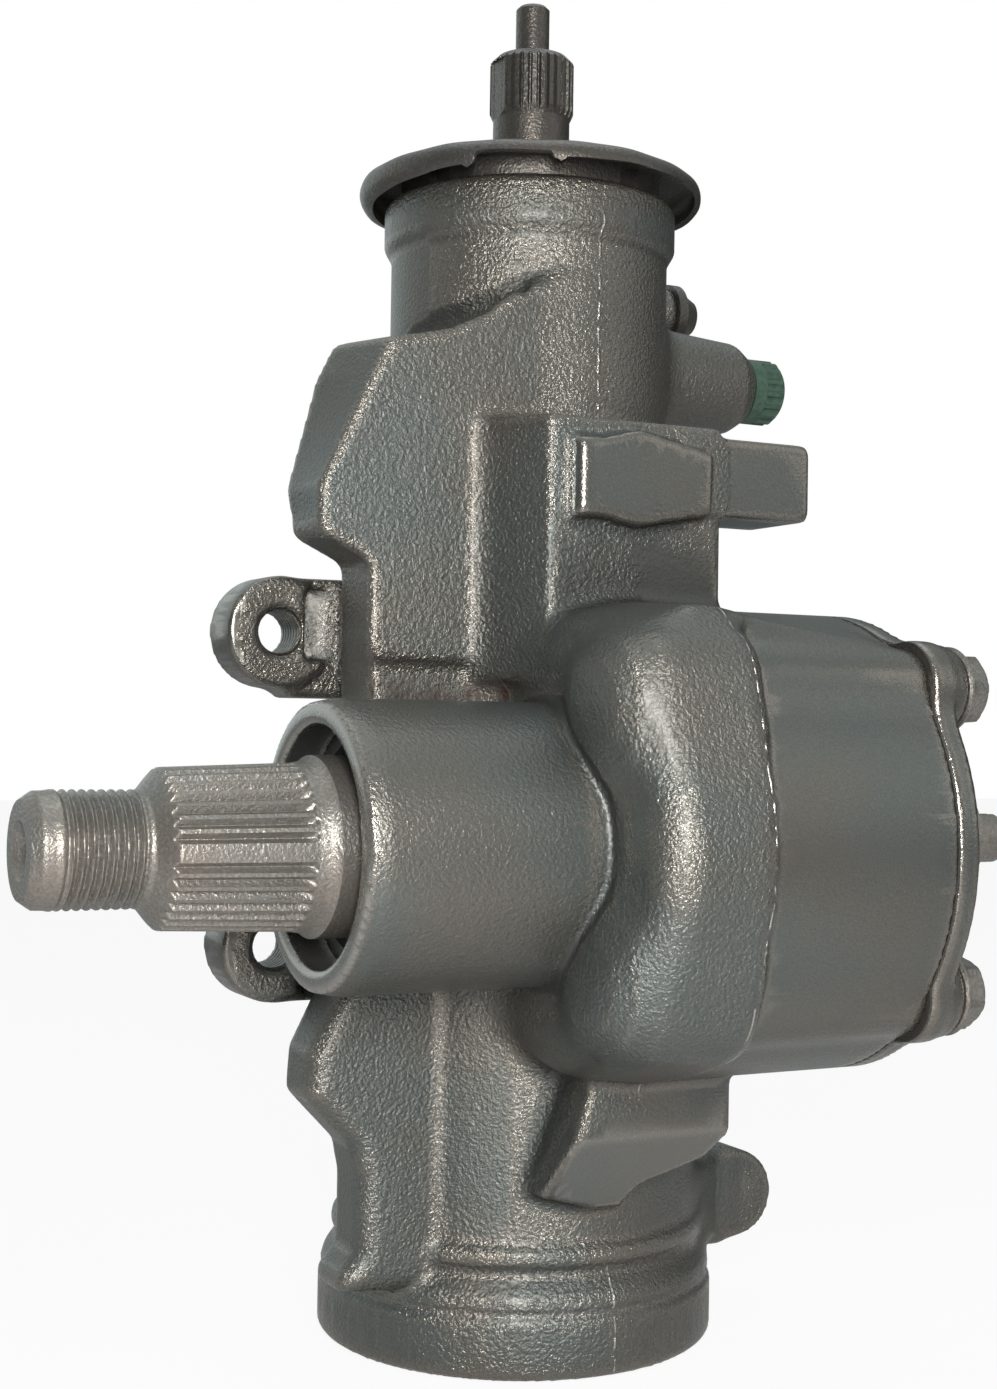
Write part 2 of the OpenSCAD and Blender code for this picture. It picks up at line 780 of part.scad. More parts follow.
module sector_needle_bearing() {
    needle_r = 1.2;
    needles = 36;
    cup_r = bearing_seat_r - fit;
    color(steel) {
        sector_ring(bearing_x0, bearing_x1, cup_r, journal_r + 2 * needle_r + 0.1);
        sector_frame(bearing_x0 + 1.5)
            for (i = [0 : needles - 1])
            rotate(i * 360 / needles)
            translate([journal_r + needle_r + fit, 0, 0])
            cylinder(h = bearing_len - 3, r = needle_r, $fn = 16);
    }
}

// A lip seal: a ring whose inner edge runs out to a thin lip at one end
module lip_seal(x0, x1) {
    lip = 1.6;
    color(seal_black)
    difference() {
        sector_rod(x0, x1, seal_seat_r - fit);
        sector_rod(x0 - over, x1 + over, journal_r + fit);
        sector_rod(x0 + lip, x1 + over, journal_r + 1.2, journal_r + 3);
    }
}

module sector_inner_seal() {
    lip_seal(inner_seal_x0, seal_x1);
}

module seal_backup_washer() {
    color(steel)
    sector_ring(washer_x0, inner_seal_x0, seal_seat_r - fit, journal_r + 0.2);
}

module sector_outer_seal() {
    lip_seal(outer_seal_x0, washer_x0);
}

module sector_seal_retaining_ring() {
    mouth = 7;
    color(steel)
    difference() {
        sector_ring(seal_ring_x0, outer_seal_x0 - fit, seal_seat_r + 1.4, seal_seat_r - 2.6);
        sector_frame(seal_ring_x0 - over)
            translate([0, -mouth / 2, 0]) cube([seal_seat_r + 3, mouth, ring_t + 2 * over]);
    }
}

// One space between rack teeth, in Z along local x and outwards along local y
module rack_space() {
    half = tooth_pitch / 4 + flank_play;
    reach = addendum + 3;
    slope = tan(pressure_angle);
    polygon([
        [-half + dedendum * slope, -dedendum],
        [half - dedendum * slope, -dedendum],
        [half + reach * slope, reach],
        [-half - reach * slope, reach]
    ]);
}

// Places children in the two guide holes of the ball nut, along +Y
module at_guide_legs() {
    for (side = [-1, 1])
        translate([side * ball_circle_r, 0, ball_center_z + side * ball_run / 2])
        rotate([-90, 0, 0]) children();
}

// Places children along the slanted bridge of the ball guide
module at_guide_bridge() {
    lean = atan2(2 * ball_circle_r, ball_run);
    translate([0, guide_y, ball_center_z]) rotate([0, lean, 0]) children();
}

// Places children at the two clamp screws, along +Y
module at_clamp_screws() {
    for (side = [-1, 1])
        translate([-side * clamp_screw[0], 0, ball_center_z + side * clamp_screw[1]])
        rotate([-90, 0, 0]) children();
}

module rack_piston() {
    rack_half = travel + sqrt(pow(sector_root_r, 2) - pow(centre_distance - piston_r, 2)) + 4;
    pocket_half = [16, ball_run / 2 + guide_r + 2];
    color(steel)
    difference() {
        rod(piston_r, piston_low_z, piston_top_z);
        // Flat and tooth spaces of the rack
        translate([-piston_bore_r, -piston_bore_r - over, sector_z - rack_half])
            cube([2 * piston_bore_r, piston_bore_r + over - rack_tip_y, 2 * rack_half]);
        for (index = sector_teeth)
            translate([-piston_bore_r, -rack_pitch_y, sector_z + index * tooth_pitch])
                rotate([90, 0, 90])
                linear_extrude(2 * piston_bore_r)
                rotate(90) rack_space();
        // Ball screw bore and its plug
        rod(nut_bore_r, piston_low_z + piston_plug_t, piston_top_z + over);
        rod(piston_plug_r, piston_low_z - over, piston_low_z + piston_plug_t + over);
        ring(piston_r + over, piston_r - piston_groove_depth, piston_ring_z, piston_ring_z + piston_ring_w);
        // Pocket and holes of the ball guide
        translate([-pocket_half[0], pocket_y, ball_center_z - pocket_half[1]])
            cube([2 * pocket_half[0], piston_r, 2 * pocket_half[1]]);
        at_guide_legs() cylinder(h = pocket_y + over, r = leg_r + fit);
        at_clamp_screws() translate([0, 0, pocket_y - 7]) cylinder(h = 8, r = clamp_screw_r + fit);
    }
}

module piston_ring() {
    color(seal_black)
    ring(piston_bore_r - 0.02, piston_r - piston_groove_depth + fit,
        piston_ring_z + fit, piston_ring_z + piston_ring_w - fit);
}

module rack_piston_plug() {
    color(dark_steel)
    difference() {
        rod(piston_plug_r - fit, piston_low_z, piston_low_z + piston_plug_t - fit);
        translate([0, 0, piston_low_z - over]) cylinder(h = 7, r = 7, $fn = 6);
    }
}

// Balls along the loaded helix, and a few in the return guide
module recirculating_balls() {
    arc = 360 * ball_turns;
    count = floor(arc * PI / 180 * ball_circle_r / (2 * ball_r + 0.25));
    bridge = norm([2 * ball_circle_r, ball_run]);
    spare = floor((bridge - 4 * ball_r) / (2 * ball_r + 0.2));
    color(steel) {
        for (i = [0 : count])
            let (turn = arc * i / count)
            translate([ball_circle_r * cos(180 + turn), ball_circle_r * sin(180 + turn),
                ball_center_z - ball_run / 2 + worm_lead * turn / 360])
            sphere(ball_r, $fn = 24);
        at_guide_bridge()
            for (i = [0 : spare - 1])
            translate([0, 0, (i - (spare - 1) / 2) * (2 * ball_r + 0.2)]) sphere(ball_r, $fn = 24);
    }
}

module ball_return_guide() {
    half = norm([2 * ball_circle_r, ball_run]) / 2;
    top = guide_y + guide_r - 0.6;
    bore = ball_r + 0.2;
    color(steel)
    difference() {
        union() {
            at_guide_bridge() translate([0, 0, -half]) cylinder(h = 2 * half, r = guide_r);
            at_guide_legs() translate([0, 0, leg_y]) cylinder(h = top - leg_y, r = leg_r);
        }
        at_guide_bridge() translate([0, 0, -half]) cylinder(h = 2 * half, r = bore);
        at_guide_legs() cylinder(h = guide_y + 1.8, r = bore + 0.1);
    }
}

module guide_clamp() {
    foot = 6;
    lean = atan2(clamp_screw[0], clamp_screw[1]);
    reach = norm(clamp_screw);
    color(steel)
    difference() {
        translate([0, 0, ball_center_z])
            rotate([0, -lean, 0]) {
                translate([-foot / 2, clamp_y, -reach - foot / 2]) cube([foot, clamp_t, 2 * reach + foot]);
                for (side = [-1, 1])
                    translate([-foot / 2, pocket_y, side * reach - foot / 2])
                    cube([foot, clamp_y - pocket_y + 0.5, foot]);
            }
        at_clamp_screws() cylinder(h = 2 * guide_y, r = clamp_screw_r + fit);
    }
}

module guide_clamp_screws() {
    color(dark_steel)
    at_clamp_screws() {
        translate([0, 0, pocket_y - 6])
            cylinder(h = clamp_y + clamp_t - pocket_y + 6 + 0.5, r = clamp_screw_r);
        translate([0, 0, clamp_y + clamp_t]) cylinder(h = clamp_head_t, r = clamp_screw_r + 1);
    }
}

// Depth profile of the ball groove across the worm: distance from the axis at a turn from the groove
function groove_radius(turn) =
    let (aside = worm_lead * turn / 360 * cos(atan(worm_lead / (2 * PI * ball_circle_r))))
    min(worm_r, ball_circle_r - sqrt(max(0, groove_r * groove_r - aside * aside)));

// Worm with its screw groove, flange, and hollow for the torsion bar
module worm_shaft() {
    half_turn = 360 * groove_r / worm_lead + 4;
    turns = [for (i = [-4 : 4]) half_turn * sin(90 * i / 4)];
    rest = [for (i = [1 : 6]) half_turn + (360 - 2 * half_turn) * i / 7];
    length = groove_z1 - groove_z0;
    layers = round(14 * length / worm_lead);
    start = 180 + 360 * (groove_z0 - (ball_center_z - ball_run / 2)) / worm_lead;
    color(steel)
    difference() {
        union() {
            rod(worm_r - 1, worm_low_z, groove_z0 + 0.2);
            translate([0, 0, groove_z0])
                rotate(start)
                linear_extrude(length, twist = -360 * length / worm_lead, slices = layers, segments = 1)
                polygon(concat(
                    [for (turn = turns) on_circle(groove_radius(turn), turn)],
                    [for (turn = rest) on_circle(worm_r, turn)]
                ));
            rod(worm_r - 0.4, groove_z1 - 0.2, worm_flange_z + over);
            rod(valve_bore_r - 3.8, worm_flange_z, valve_z);
        }
        rod(bar_hole_r, worm_low_z - over, valve_z + over);
    }
}

// A thrust bearing cage with its rollers, lying flat round the worm axis
module thrust_bearing(z, inner, outer) {
    rollers = 20;
    cage_t = 1.4;
    roller_len = outer - inner - 2.4;
    color(steel) {
        difference() {
            translate([0, 0, z + (bearing_t - cage_t) / 2]) ring(outer, inner, 0, cage_t);
            for (i = [0 : rollers - 1])
                rotate(i * 360 / rollers)
                translate([inner + 1, -roller_r - 0.15, z - over])
                cube([roller_len + 0.4, 2 * roller_r + 0.3, bearing_t + 2 * over]);
        }
        for (i = [0 : rollers - 1])
            rotate(i * 360 / rollers)
            translate([inner + 1.2, 0, z + bearing_t / 2])
            rotate([0, 90, 0])
            cylinder(h = roller_len, r = roller_r, $fn = 16);
    }
}

module lower_fixed_race() {
    color(steel) ring(valve_bore_r - 0.5, worm_r + 2.4, lower_fixed_z, lower_bearing_z);
}

module lower_thrust_bearing() {
    thrust_bearing(lower_bearing_z, worm_r + 3, valve_bore_r - 1);
}

module lower_turning_race() {
    color(steel) ring(valve_bore_r - 0.8, worm_r + 0.2, lower_turning_z, worm_flange_z);
}

module valve_body() {
    ports = 4;
    grooves = 4;
    body_r = valve_bore_r - gap;
    spacing = valve_body_len / grooves;
    color(steel)
    difference() {
        ring(body_r, spool_r + fit, valve_z, valve_top_z);
        for (i = [0 : grooves - 1])
            translate([0, 0, valve_z + (i + 0.5) * spacing - valve_ring_w / 2])
                ring(body_r + over, body_r - valve_ring_depth, 0, valve_ring_w);
        for (level = [1 : grooves - 1], i = [0 : ports - 1])
            rotate(i * 360 / ports + level * 30)
                translate([spool_r - over, 0, valve_z + level * spacing])
                rotate([0, 90, 0]) cylinder(h = valve_bore_r, r = 1.6, $fn = 24);
    }
}

module valve_body_rings() {
    grooves = 4;
    spacing = valve_body_len / grooves;
    color(seal_black)
    for (i = [0 : grooves - 1])
        translate([0, 0, valve_z + (i + 0.5) * spacing - valve_ring_w / 2])
            ring(valve_bore_r - fit, valve_bore_r - gap - valve_ring_depth + fit, fit, valve_ring_w - fit);
}

// Cross hole of the drive pin through the spool, the stub shaft and the torsion bar
module drive_pin_hole(length) {
    translate([0, 0, drive_pin_z])
        rotate([0, 90, 0]) cylinder(h = length, r = drive_pin_r + fit, center = true);
}

module spool_valve() {
    slots = 6;
    color(dark_steel)
    difference() {
        ring(spool_r - fit, stub_r + fit, spool_z0, spool_z1);
        for (i = [0 : slots - 1])
            rotate((i + 0.5) * 360 / slots)
                translate([spool_r - 1, -1.5, spool_z0 + 4]) cube([3, 3, spool_z1 - spool_z0 - 8]);
        drive_pin_hole(4 * spool_r);
    }
}

module spool_drive_pin() {
    color(steel)
    translate([0, 0, drive_pin_z])
        rotate([0, 90, 0]) cylinder(h = 2 * (spool_r - 0.6), r = drive_pin_r, center = true);
}

module torsion_bar() {
    grip = 12;
    color(steel)
    difference() {
        union() {
            rod(bar_end_r, worm_low_z + 1, worm_low_z + 1 + grip);
            rod(bar_r, worm_low_z + grip, bar_top_z - grip + over);
            rod(bar_end_r, bar_top_z - grip, bar_top_z - 0.5);
        }
        drive_pin_hole(4 * bar_end_r);
    }
}

// Input shaft: plain journal, neck, splines with one flat, and pilot
module stub_shaft() {
    groove = 0.75;
    half_w = PI * input_spline_r / input_splines * 0.7;
    shoulder_z = shield_z + 4;
    flat_y = input_spline_r - 0.9;
    color(paint_light)
    difference() {
        union() {
            rod(stub_r, spool_z0, shoulder_z);
            rod(stub_neck_r, shoulder_z - over, spline_z - 1.6);
            translate([0, 0, spline_z - 1.8]) cylinder(h = 1.8, r1 = stub_neck_r, r2 = input_spline_r);
            rod(input_spline_r, spline_z, spline_z + input_spline_len);
            translate([0, 0, spline_z + input_spline_len])
                cylinder(h = 1.6, r1 = input_spline_r, r2 = input_spline_r - 1.6);
            rod(input_pilot_r, pilot_z - over, pilot_z + input_pilot_len - 0.8);
            translate([0, 0, pilot_z + input_pilot_len - 0.8])
                cylinder(h = 0.8, r1 = input_pilot_r, r2 = input_pilot_r - 0.8);
        }
        for (i = [0 : input_splines - 1])
            rotate(i * 360 / input_splines)
                translate([input_spline_r, 0, spline_z - 2.4])
                linear_extrude(input_spline_len + 5)
                polygon([[-groove, -0.12], [0.3, -half_w], [0.3, half_w], [-groove, 0.12]]);
        translate([-2 * input_spline_r - flat_y, -input_spline_r, spline_z - 2])
            cube([2 * input_spline_r, 2 * input_spline_r, input_spline_len + 2]);
        rod(bar_hole_r, spool_z0 - over, bar_top_z);
        drive_pin_hole(4 * stub_r);
    }
}

module upper_turning_race() {
    color(steel) ring(valve_bore_r - 2, spool_r + 1, valve_top_z, valve_top_z + race_t);
}

module upper_thrust_bearing() {
    thrust_bearing(upper_bearing_z, spool_r + 1.2, valve_bore_r - 1.6);
}

module upper_fixed_race() {
    color(steel) ring(valve_bore_r - 0.6, spool_r + 1, upper_fixed_z, adjuster_z);
}

module adjuster_plug() {
    color(dark_steel)
    difference() {
        rod(adjuster_thread_r - fit, adjuster_z, adjuster_top_z);
        rod(stub_r + 0.4, adjuster_z - over, adjuster_top_z + over);
        rod(plug_bearing_r, adjuster_z - over, adjuster_z + plug_bearing_t);
        rod(plug_seal_r, plug_seal_z, adjuster_top_z + over);
        rod(plug_seal_r + 1.2, plug_ring_z, plug_ring_z + ring_t);
        for (side = [-1, 1])
            translate([side * (plug_seal_r + 5), 0, adjuster_top_z - 4]) cylinder(h = 4 + over, r = 2.5);
    }
}

module adjuster_locknut() {
    notches = 4;
    color(dark_steel)
    difference() {
        ring(locknut_r, adjuster_thread_r, housing_top_z, housing_top_z + locknut_t);
        for (i = [0 : notches - 1])
            rotate(i * 360 / notches + 20)
                translate([locknut_r - 2, -3, housing_top_z - over]) cube([4, 6, locknut_t + 2 * over]);
    }
}

module adjuster_needle_bearing() {
    needle_r = 1;
    needles = 24;
    color(steel) {
        ring(plug_bearing_r - fit, stub_r + 2 * needle_r + 0.15,
            adjuster_z, adjuster_z + plug_bearing_t - fit);
        for (i = [0 : needles - 1])
            rotate(i * 360 / needles)
                translate([stub_r + needle_r + fit, 0, adjuster_z + 0.5])
                cylinder(h = plug_bearing_t - 1, r = needle_r, $fn = 16);
    }
}

module stub_shaft_seal() {
    color(seal_black) ring(plug_seal_r - fit, stub_r + fit, plug_seal_z, plug_dust_z);
}

module stub_dust_seal() {
    color(seal_black) ring(plug_seal_r - fit, stub_r + fit, plug_dust_z, plug_ring_z);
}

module stub_seal_retaining_ring() {
    color(steel)
    split_ring(plug_seal_r + 1.1, plug_seal_r - 2.4, plug_ring_z + fit, plug_ring_z + ring_t - fit, 6);
}

// Pressed dish over the adjuster plug, with a rolled rim that hangs past the neck
module dust_shield() {
    sheet = 1.4;
    crown_z = adjuster_top_z + 0.1;
    rim_r = 3.8;
    flat_r = locknut_r + 0.6;
    roll_r = shield_r - rim_r;
    hub_r = stub_r + 1;
    color(paint)
    rotate_extrude()
        difference() {
            union() {
                polygon([
                    [hub_r, crown_z], [flat_r, crown_z], [roll_r, shield_z + rim_r - sheet],
                    [roll_r, shield_z + rim_r], [flat_r, crown_z + sheet], [hub_r, crown_z + sheet]
                ]);
                translate([roll_r, shield_z]) circle(rim_r);
            }
            translate([roll_r, shield_z]) circle(rim_r - sheet);
            translate([0, shield_z - 2 * rim_r]) square([roll_r, 2 * rim_r + 0.6]);
            translate([0, shield_z - 2 * rim_r - 2.4]) square([2 * shield_r, 2 * rim_r]);
        }
}

// A flared hose seat pressed into a port
module port_seat(x0, y, z, bore) {
    color(bronze)
    difference() {
        cross_rod(x0, x0 + seat_t, y, z, bore - fit);
        cross_rod(x0 - over, x0 + seat_t + over, y, z, bore / 2.5);
        cross_rod(x0 + seat_t - 2, x0 + seat_t + 0.01, y, z, bore / 2.5, bore - 1.2);
    }
}

module pressure_port_seat() {
    port_seat(port_reach - 24, 0, port_z, port_bore_r);
}

module return_port_seat() {
    port_seat(return_reach - 16, return_y, return_z, return_bore_r);
}

// A push-in transit plug with a ribbed grip
module pressure_port_plug() {
    ribs = 16;
    grip_r = port_r - 2.6;
    grip_t = 8.8;
    grip_x1 = port_reach + grip_t;
    color(plug_green)
    difference() {
        union() {
            cross_rod(port_reach - plug_stem, port_reach + over, 0, port_z, port_bore_r - fit);
            cross_rod(port_reach, grip_x1 - 1, 0, port_z, grip_r);
            cross_rod(grip_x1 - 1, grip_x1, 0, port_z, grip_r, grip_r - 1);
        }
        for (i = [0 : ribs - 1])
            translate([port_reach + 3.2, 0, port_z])
                rotate([i * 360 / ribs, 0, 0])
                translate([0, grip_r + 0.5, 0])
                rotate([0, 90, 0]) cylinder(h = grip_t, r = 1.2, $fn = 16);
    }
}

// A push-in transit plug with a smooth coned cap
module return_port_plug() {
    cap_r = return_r + 1;
    flange_x1 = return_reach + 2.4;
    color(seal_black) {
        cross_rod(return_reach - plug_stem, return_reach + over, return_y, return_z, return_bore_r - fit);
        cross_rod(return_reach, flange_x1, return_y, return_z, cap_r);
        cross_rod(flange_x1 - over, flange_x1 + 4.6, return_y, return_z, cap_r - 0.6, cap_r - 3.4);
    }
}

gear_housing();
end_plug();
end_plug_seal();
end_plug_retaining_ring();
side_cover();
side_cover_gasket();
side_cover_bolts();
side_cover_bush();
lash_adjuster_screw();
lash_adjuster_shim();
lash_adjuster_locknut();
sector_shaft();
sector_needle_bearing();
sector_inner_seal();
seal_backup_washer();
sector_outer_seal();
sector_seal_retaining_ring();
rack_piston();
piston_ring();
rack_piston_plug();
recirculating_balls();
ball_return_guide();
guide_clamp();
guide_clamp_screws();
worm_shaft();
lower_fixed_race();
lower_thrust_bearing();
lower_turning_race();
valve_body();
valve_body_rings();
spool_valve();
spool_drive_pin();
torsion_bar();
stub_shaft();
upper_turning_race();
upper_thrust_bearing();
upper_fixed_race();
adjuster_plug();
adjuster_locknut();
adjuster_needle_bearing();
stub_shaft_seal();
stub_dust_seal();
stub_seal_retaining_ring();
dust_shield();
pressure_port_seat();
return_port_seat();
pressure_port_plug();
return_port_plug();
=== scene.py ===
import json
import math

import bmesh
import bpy
import numpy as np
from mathutils import Matrix


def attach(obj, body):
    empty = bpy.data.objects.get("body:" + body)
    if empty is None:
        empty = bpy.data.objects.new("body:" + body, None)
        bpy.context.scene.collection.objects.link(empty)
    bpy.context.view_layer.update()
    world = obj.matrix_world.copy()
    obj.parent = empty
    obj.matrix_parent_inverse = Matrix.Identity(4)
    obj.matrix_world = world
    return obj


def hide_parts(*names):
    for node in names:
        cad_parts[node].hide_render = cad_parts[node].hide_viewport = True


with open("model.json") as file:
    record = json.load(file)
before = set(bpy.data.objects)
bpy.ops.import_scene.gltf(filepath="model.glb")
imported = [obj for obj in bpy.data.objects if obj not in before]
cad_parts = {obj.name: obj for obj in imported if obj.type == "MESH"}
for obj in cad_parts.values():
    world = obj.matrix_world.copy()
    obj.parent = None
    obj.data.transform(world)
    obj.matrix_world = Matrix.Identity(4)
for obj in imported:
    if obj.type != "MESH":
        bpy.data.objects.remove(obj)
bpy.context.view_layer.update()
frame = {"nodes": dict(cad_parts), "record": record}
print("frame loaded:", len(frame["nodes"]), "nodes")

# All shapes are worked out in millimetres and scaled when they become meshes
metres = 0.001
gearY, gearZ = -50.0, 111.589       # axis of the sector shaft
barrelTop, neckTop = 201.478, 253.978
boltReach, boltRise = 31.0, 1.5
boltCorners = [(gearY + a * boltReach, gearZ + boltRise + b * boltReach) for a in (-1, 1) for b in (-1, 1)]
earX, earHigh, earLow = -61.2, gearZ + 43, gearZ - 24
pressureAt, returnAt = (0.0, 217.628), (17.0, 237.828)      # y and z of the ports
footZ = gearZ - 75.6                # foot of the lower pad, and its slanted facet
facetTilt, facetFront, facetTop = math.radians(32), -52.0, footZ + 15


# Camera where the photographer stood: angles in degrees, place in millimetres, focal and shift in pixels
viewpoint = {
    "place": (-210.94, -404.33, 134.57), "heading": 26.794, "pitch": 1.133, "roll": 0.908,
    "focal": 1989.9, "imageHeight": 1389, "shift": (2.4, -4.9), "sensor": 36.0, "nearest": 0.01,
}


# Object with its own right, up and backward directions, linked into the scene
def placed(name, data, right, up, back, place):
    holder = bpy.data.objects.new(name, data)
    turn = np.eye(4)
    turn[:3] = np.stack([right, up, back, place], -1)
    holder.matrix_world = Matrix(turn.tolist())
    bpy.context.scene.collection.objects.link(holder)
    return holder


def setCamera(view):
    heading, pitch, roll = (math.radians(view[key]) for key in ("heading", "pitch", "roll"))
    ahead = np.array([math.sin(heading) * math.cos(pitch), math.cos(heading) * math.cos(pitch),
                      math.sin(pitch)])
    right = np.array([math.cos(heading), -math.sin(heading), 0.0])
    up = np.cross(right, ahead)
    right, up = (right * math.cos(roll) + up * math.sin(roll), up * math.cos(roll) - right * math.sin(roll))
    lens = bpy.data.cameras.new("photoCamera")
    lens.sensor_fit = "VERTICAL"
    lens.sensor_height = view["sensor"]
    lens.lens = view["sensor"] * view["focal"] / view["imageHeight"]
    lens.shift_x, lens.shift_y = (pixels / view["imageHeight"] for pixels in view["shift"])
    lens.clip_start = view["nearest"]
    place = np.array(view["place"]) * metres
    bpy.context.scene.camera = placed("photoCamera", lens, right, up, -ahead, place)


setCamera(viewpoint)
print("camera set")


# Meshes from arrays: vertices in millimetres, faces as one array for each corner count
def meshFromArrays(name, points, faceSets):
    mesh = bpy.data.meshes.new(name)
    corners = np.concatenate([faces.ravel() for faces in faceSets]).astype(np.int32)
    counts = np.concatenate([np.full(len(faces), faces.shape[1]) for faces in faceSets]).astype(np.int32)
    mesh.vertices.add(len(points))
    mesh.vertices.foreach_set("co", (np.asarray(points, np.float32) * metres).ravel())
    mesh.loops.add(len(corners))
    mesh.loops.foreach_set("vertex_index", corners)
    mesh.polygons.add(len(counts))
    mesh.polygons.foreach_set("loop_start", np.concatenate([[0], np.cumsum(counts)[:-1]]).astype(np.int32))
    mesh.polygons.foreach_set("loop_total", counts)
    mesh.update(calc_edges=True)
    mesh.validate()
    return mesh


# A piece that rides a body and stands in for a node, in its slot's finish or the one that is named
def showPiece(name, mesh, body, slot, stands, crease=None, finish=None):
    mesh.polygons.foreach_set("use_smooth", np.full(len(mesh.polygons), True))
    if crease:
        mesh.set_sharp_from_angle(angle=math.radians(crease))
    mesh.materials.clear()
    mesh.materials.append(finishes[finish or slot])
    piece = bpy.data.objects.new(name, mesh)
    bpy.context.scene.collection.objects.link(piece)
    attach(piece, body)
    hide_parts(stands)


# One mesh of several parts, each its points, quads and triangles
def joinedMesh(name, parts):
    starts = np.cumsum([0] + [len(part[0]) for part in parts])
    return meshFromArrays(name, np.concatenate([part[0] for part in parts]),
                          [np.concatenate([part[i] + s for part, s in zip(parts, starts)]) for i in (1, 2)])


# Quads of a grid of points that is closed round its columns
def ringQuads(rows, columns):
    row, column = np.meshgrid(np.arange(rows - 1), np.arange(columns), indexing="ij")
    here = row * columns + column
    beside = row * columns + (column + 1) % columns
    return np.stack([here, beside, beside + columns, here + columns], -1).reshape(-1, 4)


# Surface with a radius for each length along x and each turn about a centre, closed by a fan to a pole at
# each end
def spunSurface(along, radius, turn, centre):
    rows, columns = radius.shape
    points = np.stack([np.repeat(along[:, None], columns, 1), centre[0] + radius * np.cos(turn),
                       centre[1] + radius * np.sin(turn)], -1).reshape(-1, 3)
    points = np.concatenate([points, [[along[0], *centre], [along[-1], *centre]]])
    rim, last, pole = np.arange(columns), (rows - 1) * columns, np.full(columns, rows * columns)
    following = (rim + 1) % columns
    fans = [np.stack([following, rim, pole], -1), np.stack([last + rim, last + following, pole + 1], -1)]
    return points, ringQuads(rows, columns), np.concatenate(fans)


# Shader sockets as plain values: sums and products of wires add Math nodes
class Wire:
    def __init__(self, tree, socket):
        self.tree, self.socket = tree, socket

    def node(self, kind, settings=None, inputs=None, output=0):
        made = self.tree.nodes.new(kind)
        for key, value in (settings or {}).items():
            setattr(made, key, value)
        for key, value in (inputs or {}).items():
            if isinstance(value, Wire):
                self.tree.links.new(value.socket, made.inputs[key])
            else:
                made.inputs[key].default_value = value
        return Wire(self.tree, made.outputs[output])

    def maths(self, operation, first, second=0.0):
        return self.node("ShaderNodeMath", {"operation": operation}, {0: first, 1: second})

    def __add__(self, other):
        return self.maths("ADD", self, other)

    __radd__ = __add__

    def __sub__(self, other):
        return self.maths("SUBTRACT", self, other)

    def __rsub__(self, other):
        return self.maths("SUBTRACT", other, self)

    def __mul__(self, other):
        return self.maths("MULTIPLY", self, other)

    __rmul__ = __mul__

    # Smooth step of a value between two levels
    def ease(self, low, high):
        return self.node("ShaderNodeMapRange", {"interpolation_type": "SMOOTHSTEP"},
                         {0: self, 1: low, 2: high, 3: 0.0, 4: 1.0})

    def size(self):
        return self.maths("ABSOLUTE", self)

    # Colour between two others, by this share
    def blend(self, first, second):
        first, second = ((*c, 1.0) if isinstance(c, tuple) else c for c in (first, second))
        return self.node("ShaderNodeMix", {"data_type": "RGBA"}, {0: self, 6: first, 7: second}, 2)

    def noise(self, scale, detail=2.0, roughness=0.5):
        return self.node("ShaderNodeTexNoise", None,
                         {"Vector": self, "Scale": scale, "Detail": detail, "Roughness": roughness})

    def relief(self, strength, depth):
        return self.node("ShaderNodeBump", None, {"Height": self, "Strength": strength, "Distance": depth})


# A new material: its shader, and a wire on the object's own coordinates
def newFinish(name, **constants):
    material = bpy.data.materials.new(name)
    material.use_nodes = True
    tree = material.node_tree
    shader = tree.nodes["Principled BSDF"]
    for key, value in constants.items():
        shader.inputs[key.replace("_", " ")].default_value = value
    place = tree.nodes.new("ShaderNodeTexCoord")

    def feed(**wires):
        for key, wire in wires.items():
            tree.links.new(wire.socket, shader.inputs[key.replace("_", " ")])

    return material, Wire(tree, place.outputs["Object"]), feed


def attributeWire(wire, name):
    return wire.node("ShaderNodeAttribute", {"attribute_name": name}, None, 2)


# Colours: the edge colour lightens fine specks and worn edges, and it is painted highlight on edges, fillets
# and the knuckle; the hollow colour is painted shade; the seam colour is also the painted reflection on the
# boss's end
castingPaint = {
    "warm": (0.116, 0.115, 0.106), "cool": (0.098, 0.116, 0.115), "edge": (0.240, 0.214, 0.186),
    "hollow": (0.045, 0.047, 0.045), "rust": (0.026, 0.011, 0.007), "seam": (0.48, 0.48, 0.46),
    "driftScale": 26.0, "pebbleScale": 1250.0, "fineScale": 2800.0, "rustScale": 150.0, "spotScale": 420.0,
    "fineShare": 0.30, "edgeWearAndHighlightShare": 0.45, "filletHighlightShare": 0.35, "hollowShare": 0.6, "reflectionShare": 0.35,
    "seamShare": 0.8, "rough": 0.44, "roughByGrain": 0.03, "roughByFine": 0.12, "roughByBend": 0.15,
    "roughByRust": 0.3, "metal": 0.8, "bump": 0.75, "pebbleDepth": 0.00068, "threadPitch": 0.0015,
    "seamAt": 0.00160, "seamLean": -0.020, "seamHalf": 0.0004, "seamFrom": 0.07,
    "waverScale": 90.0, "waver": 0.0012,
}
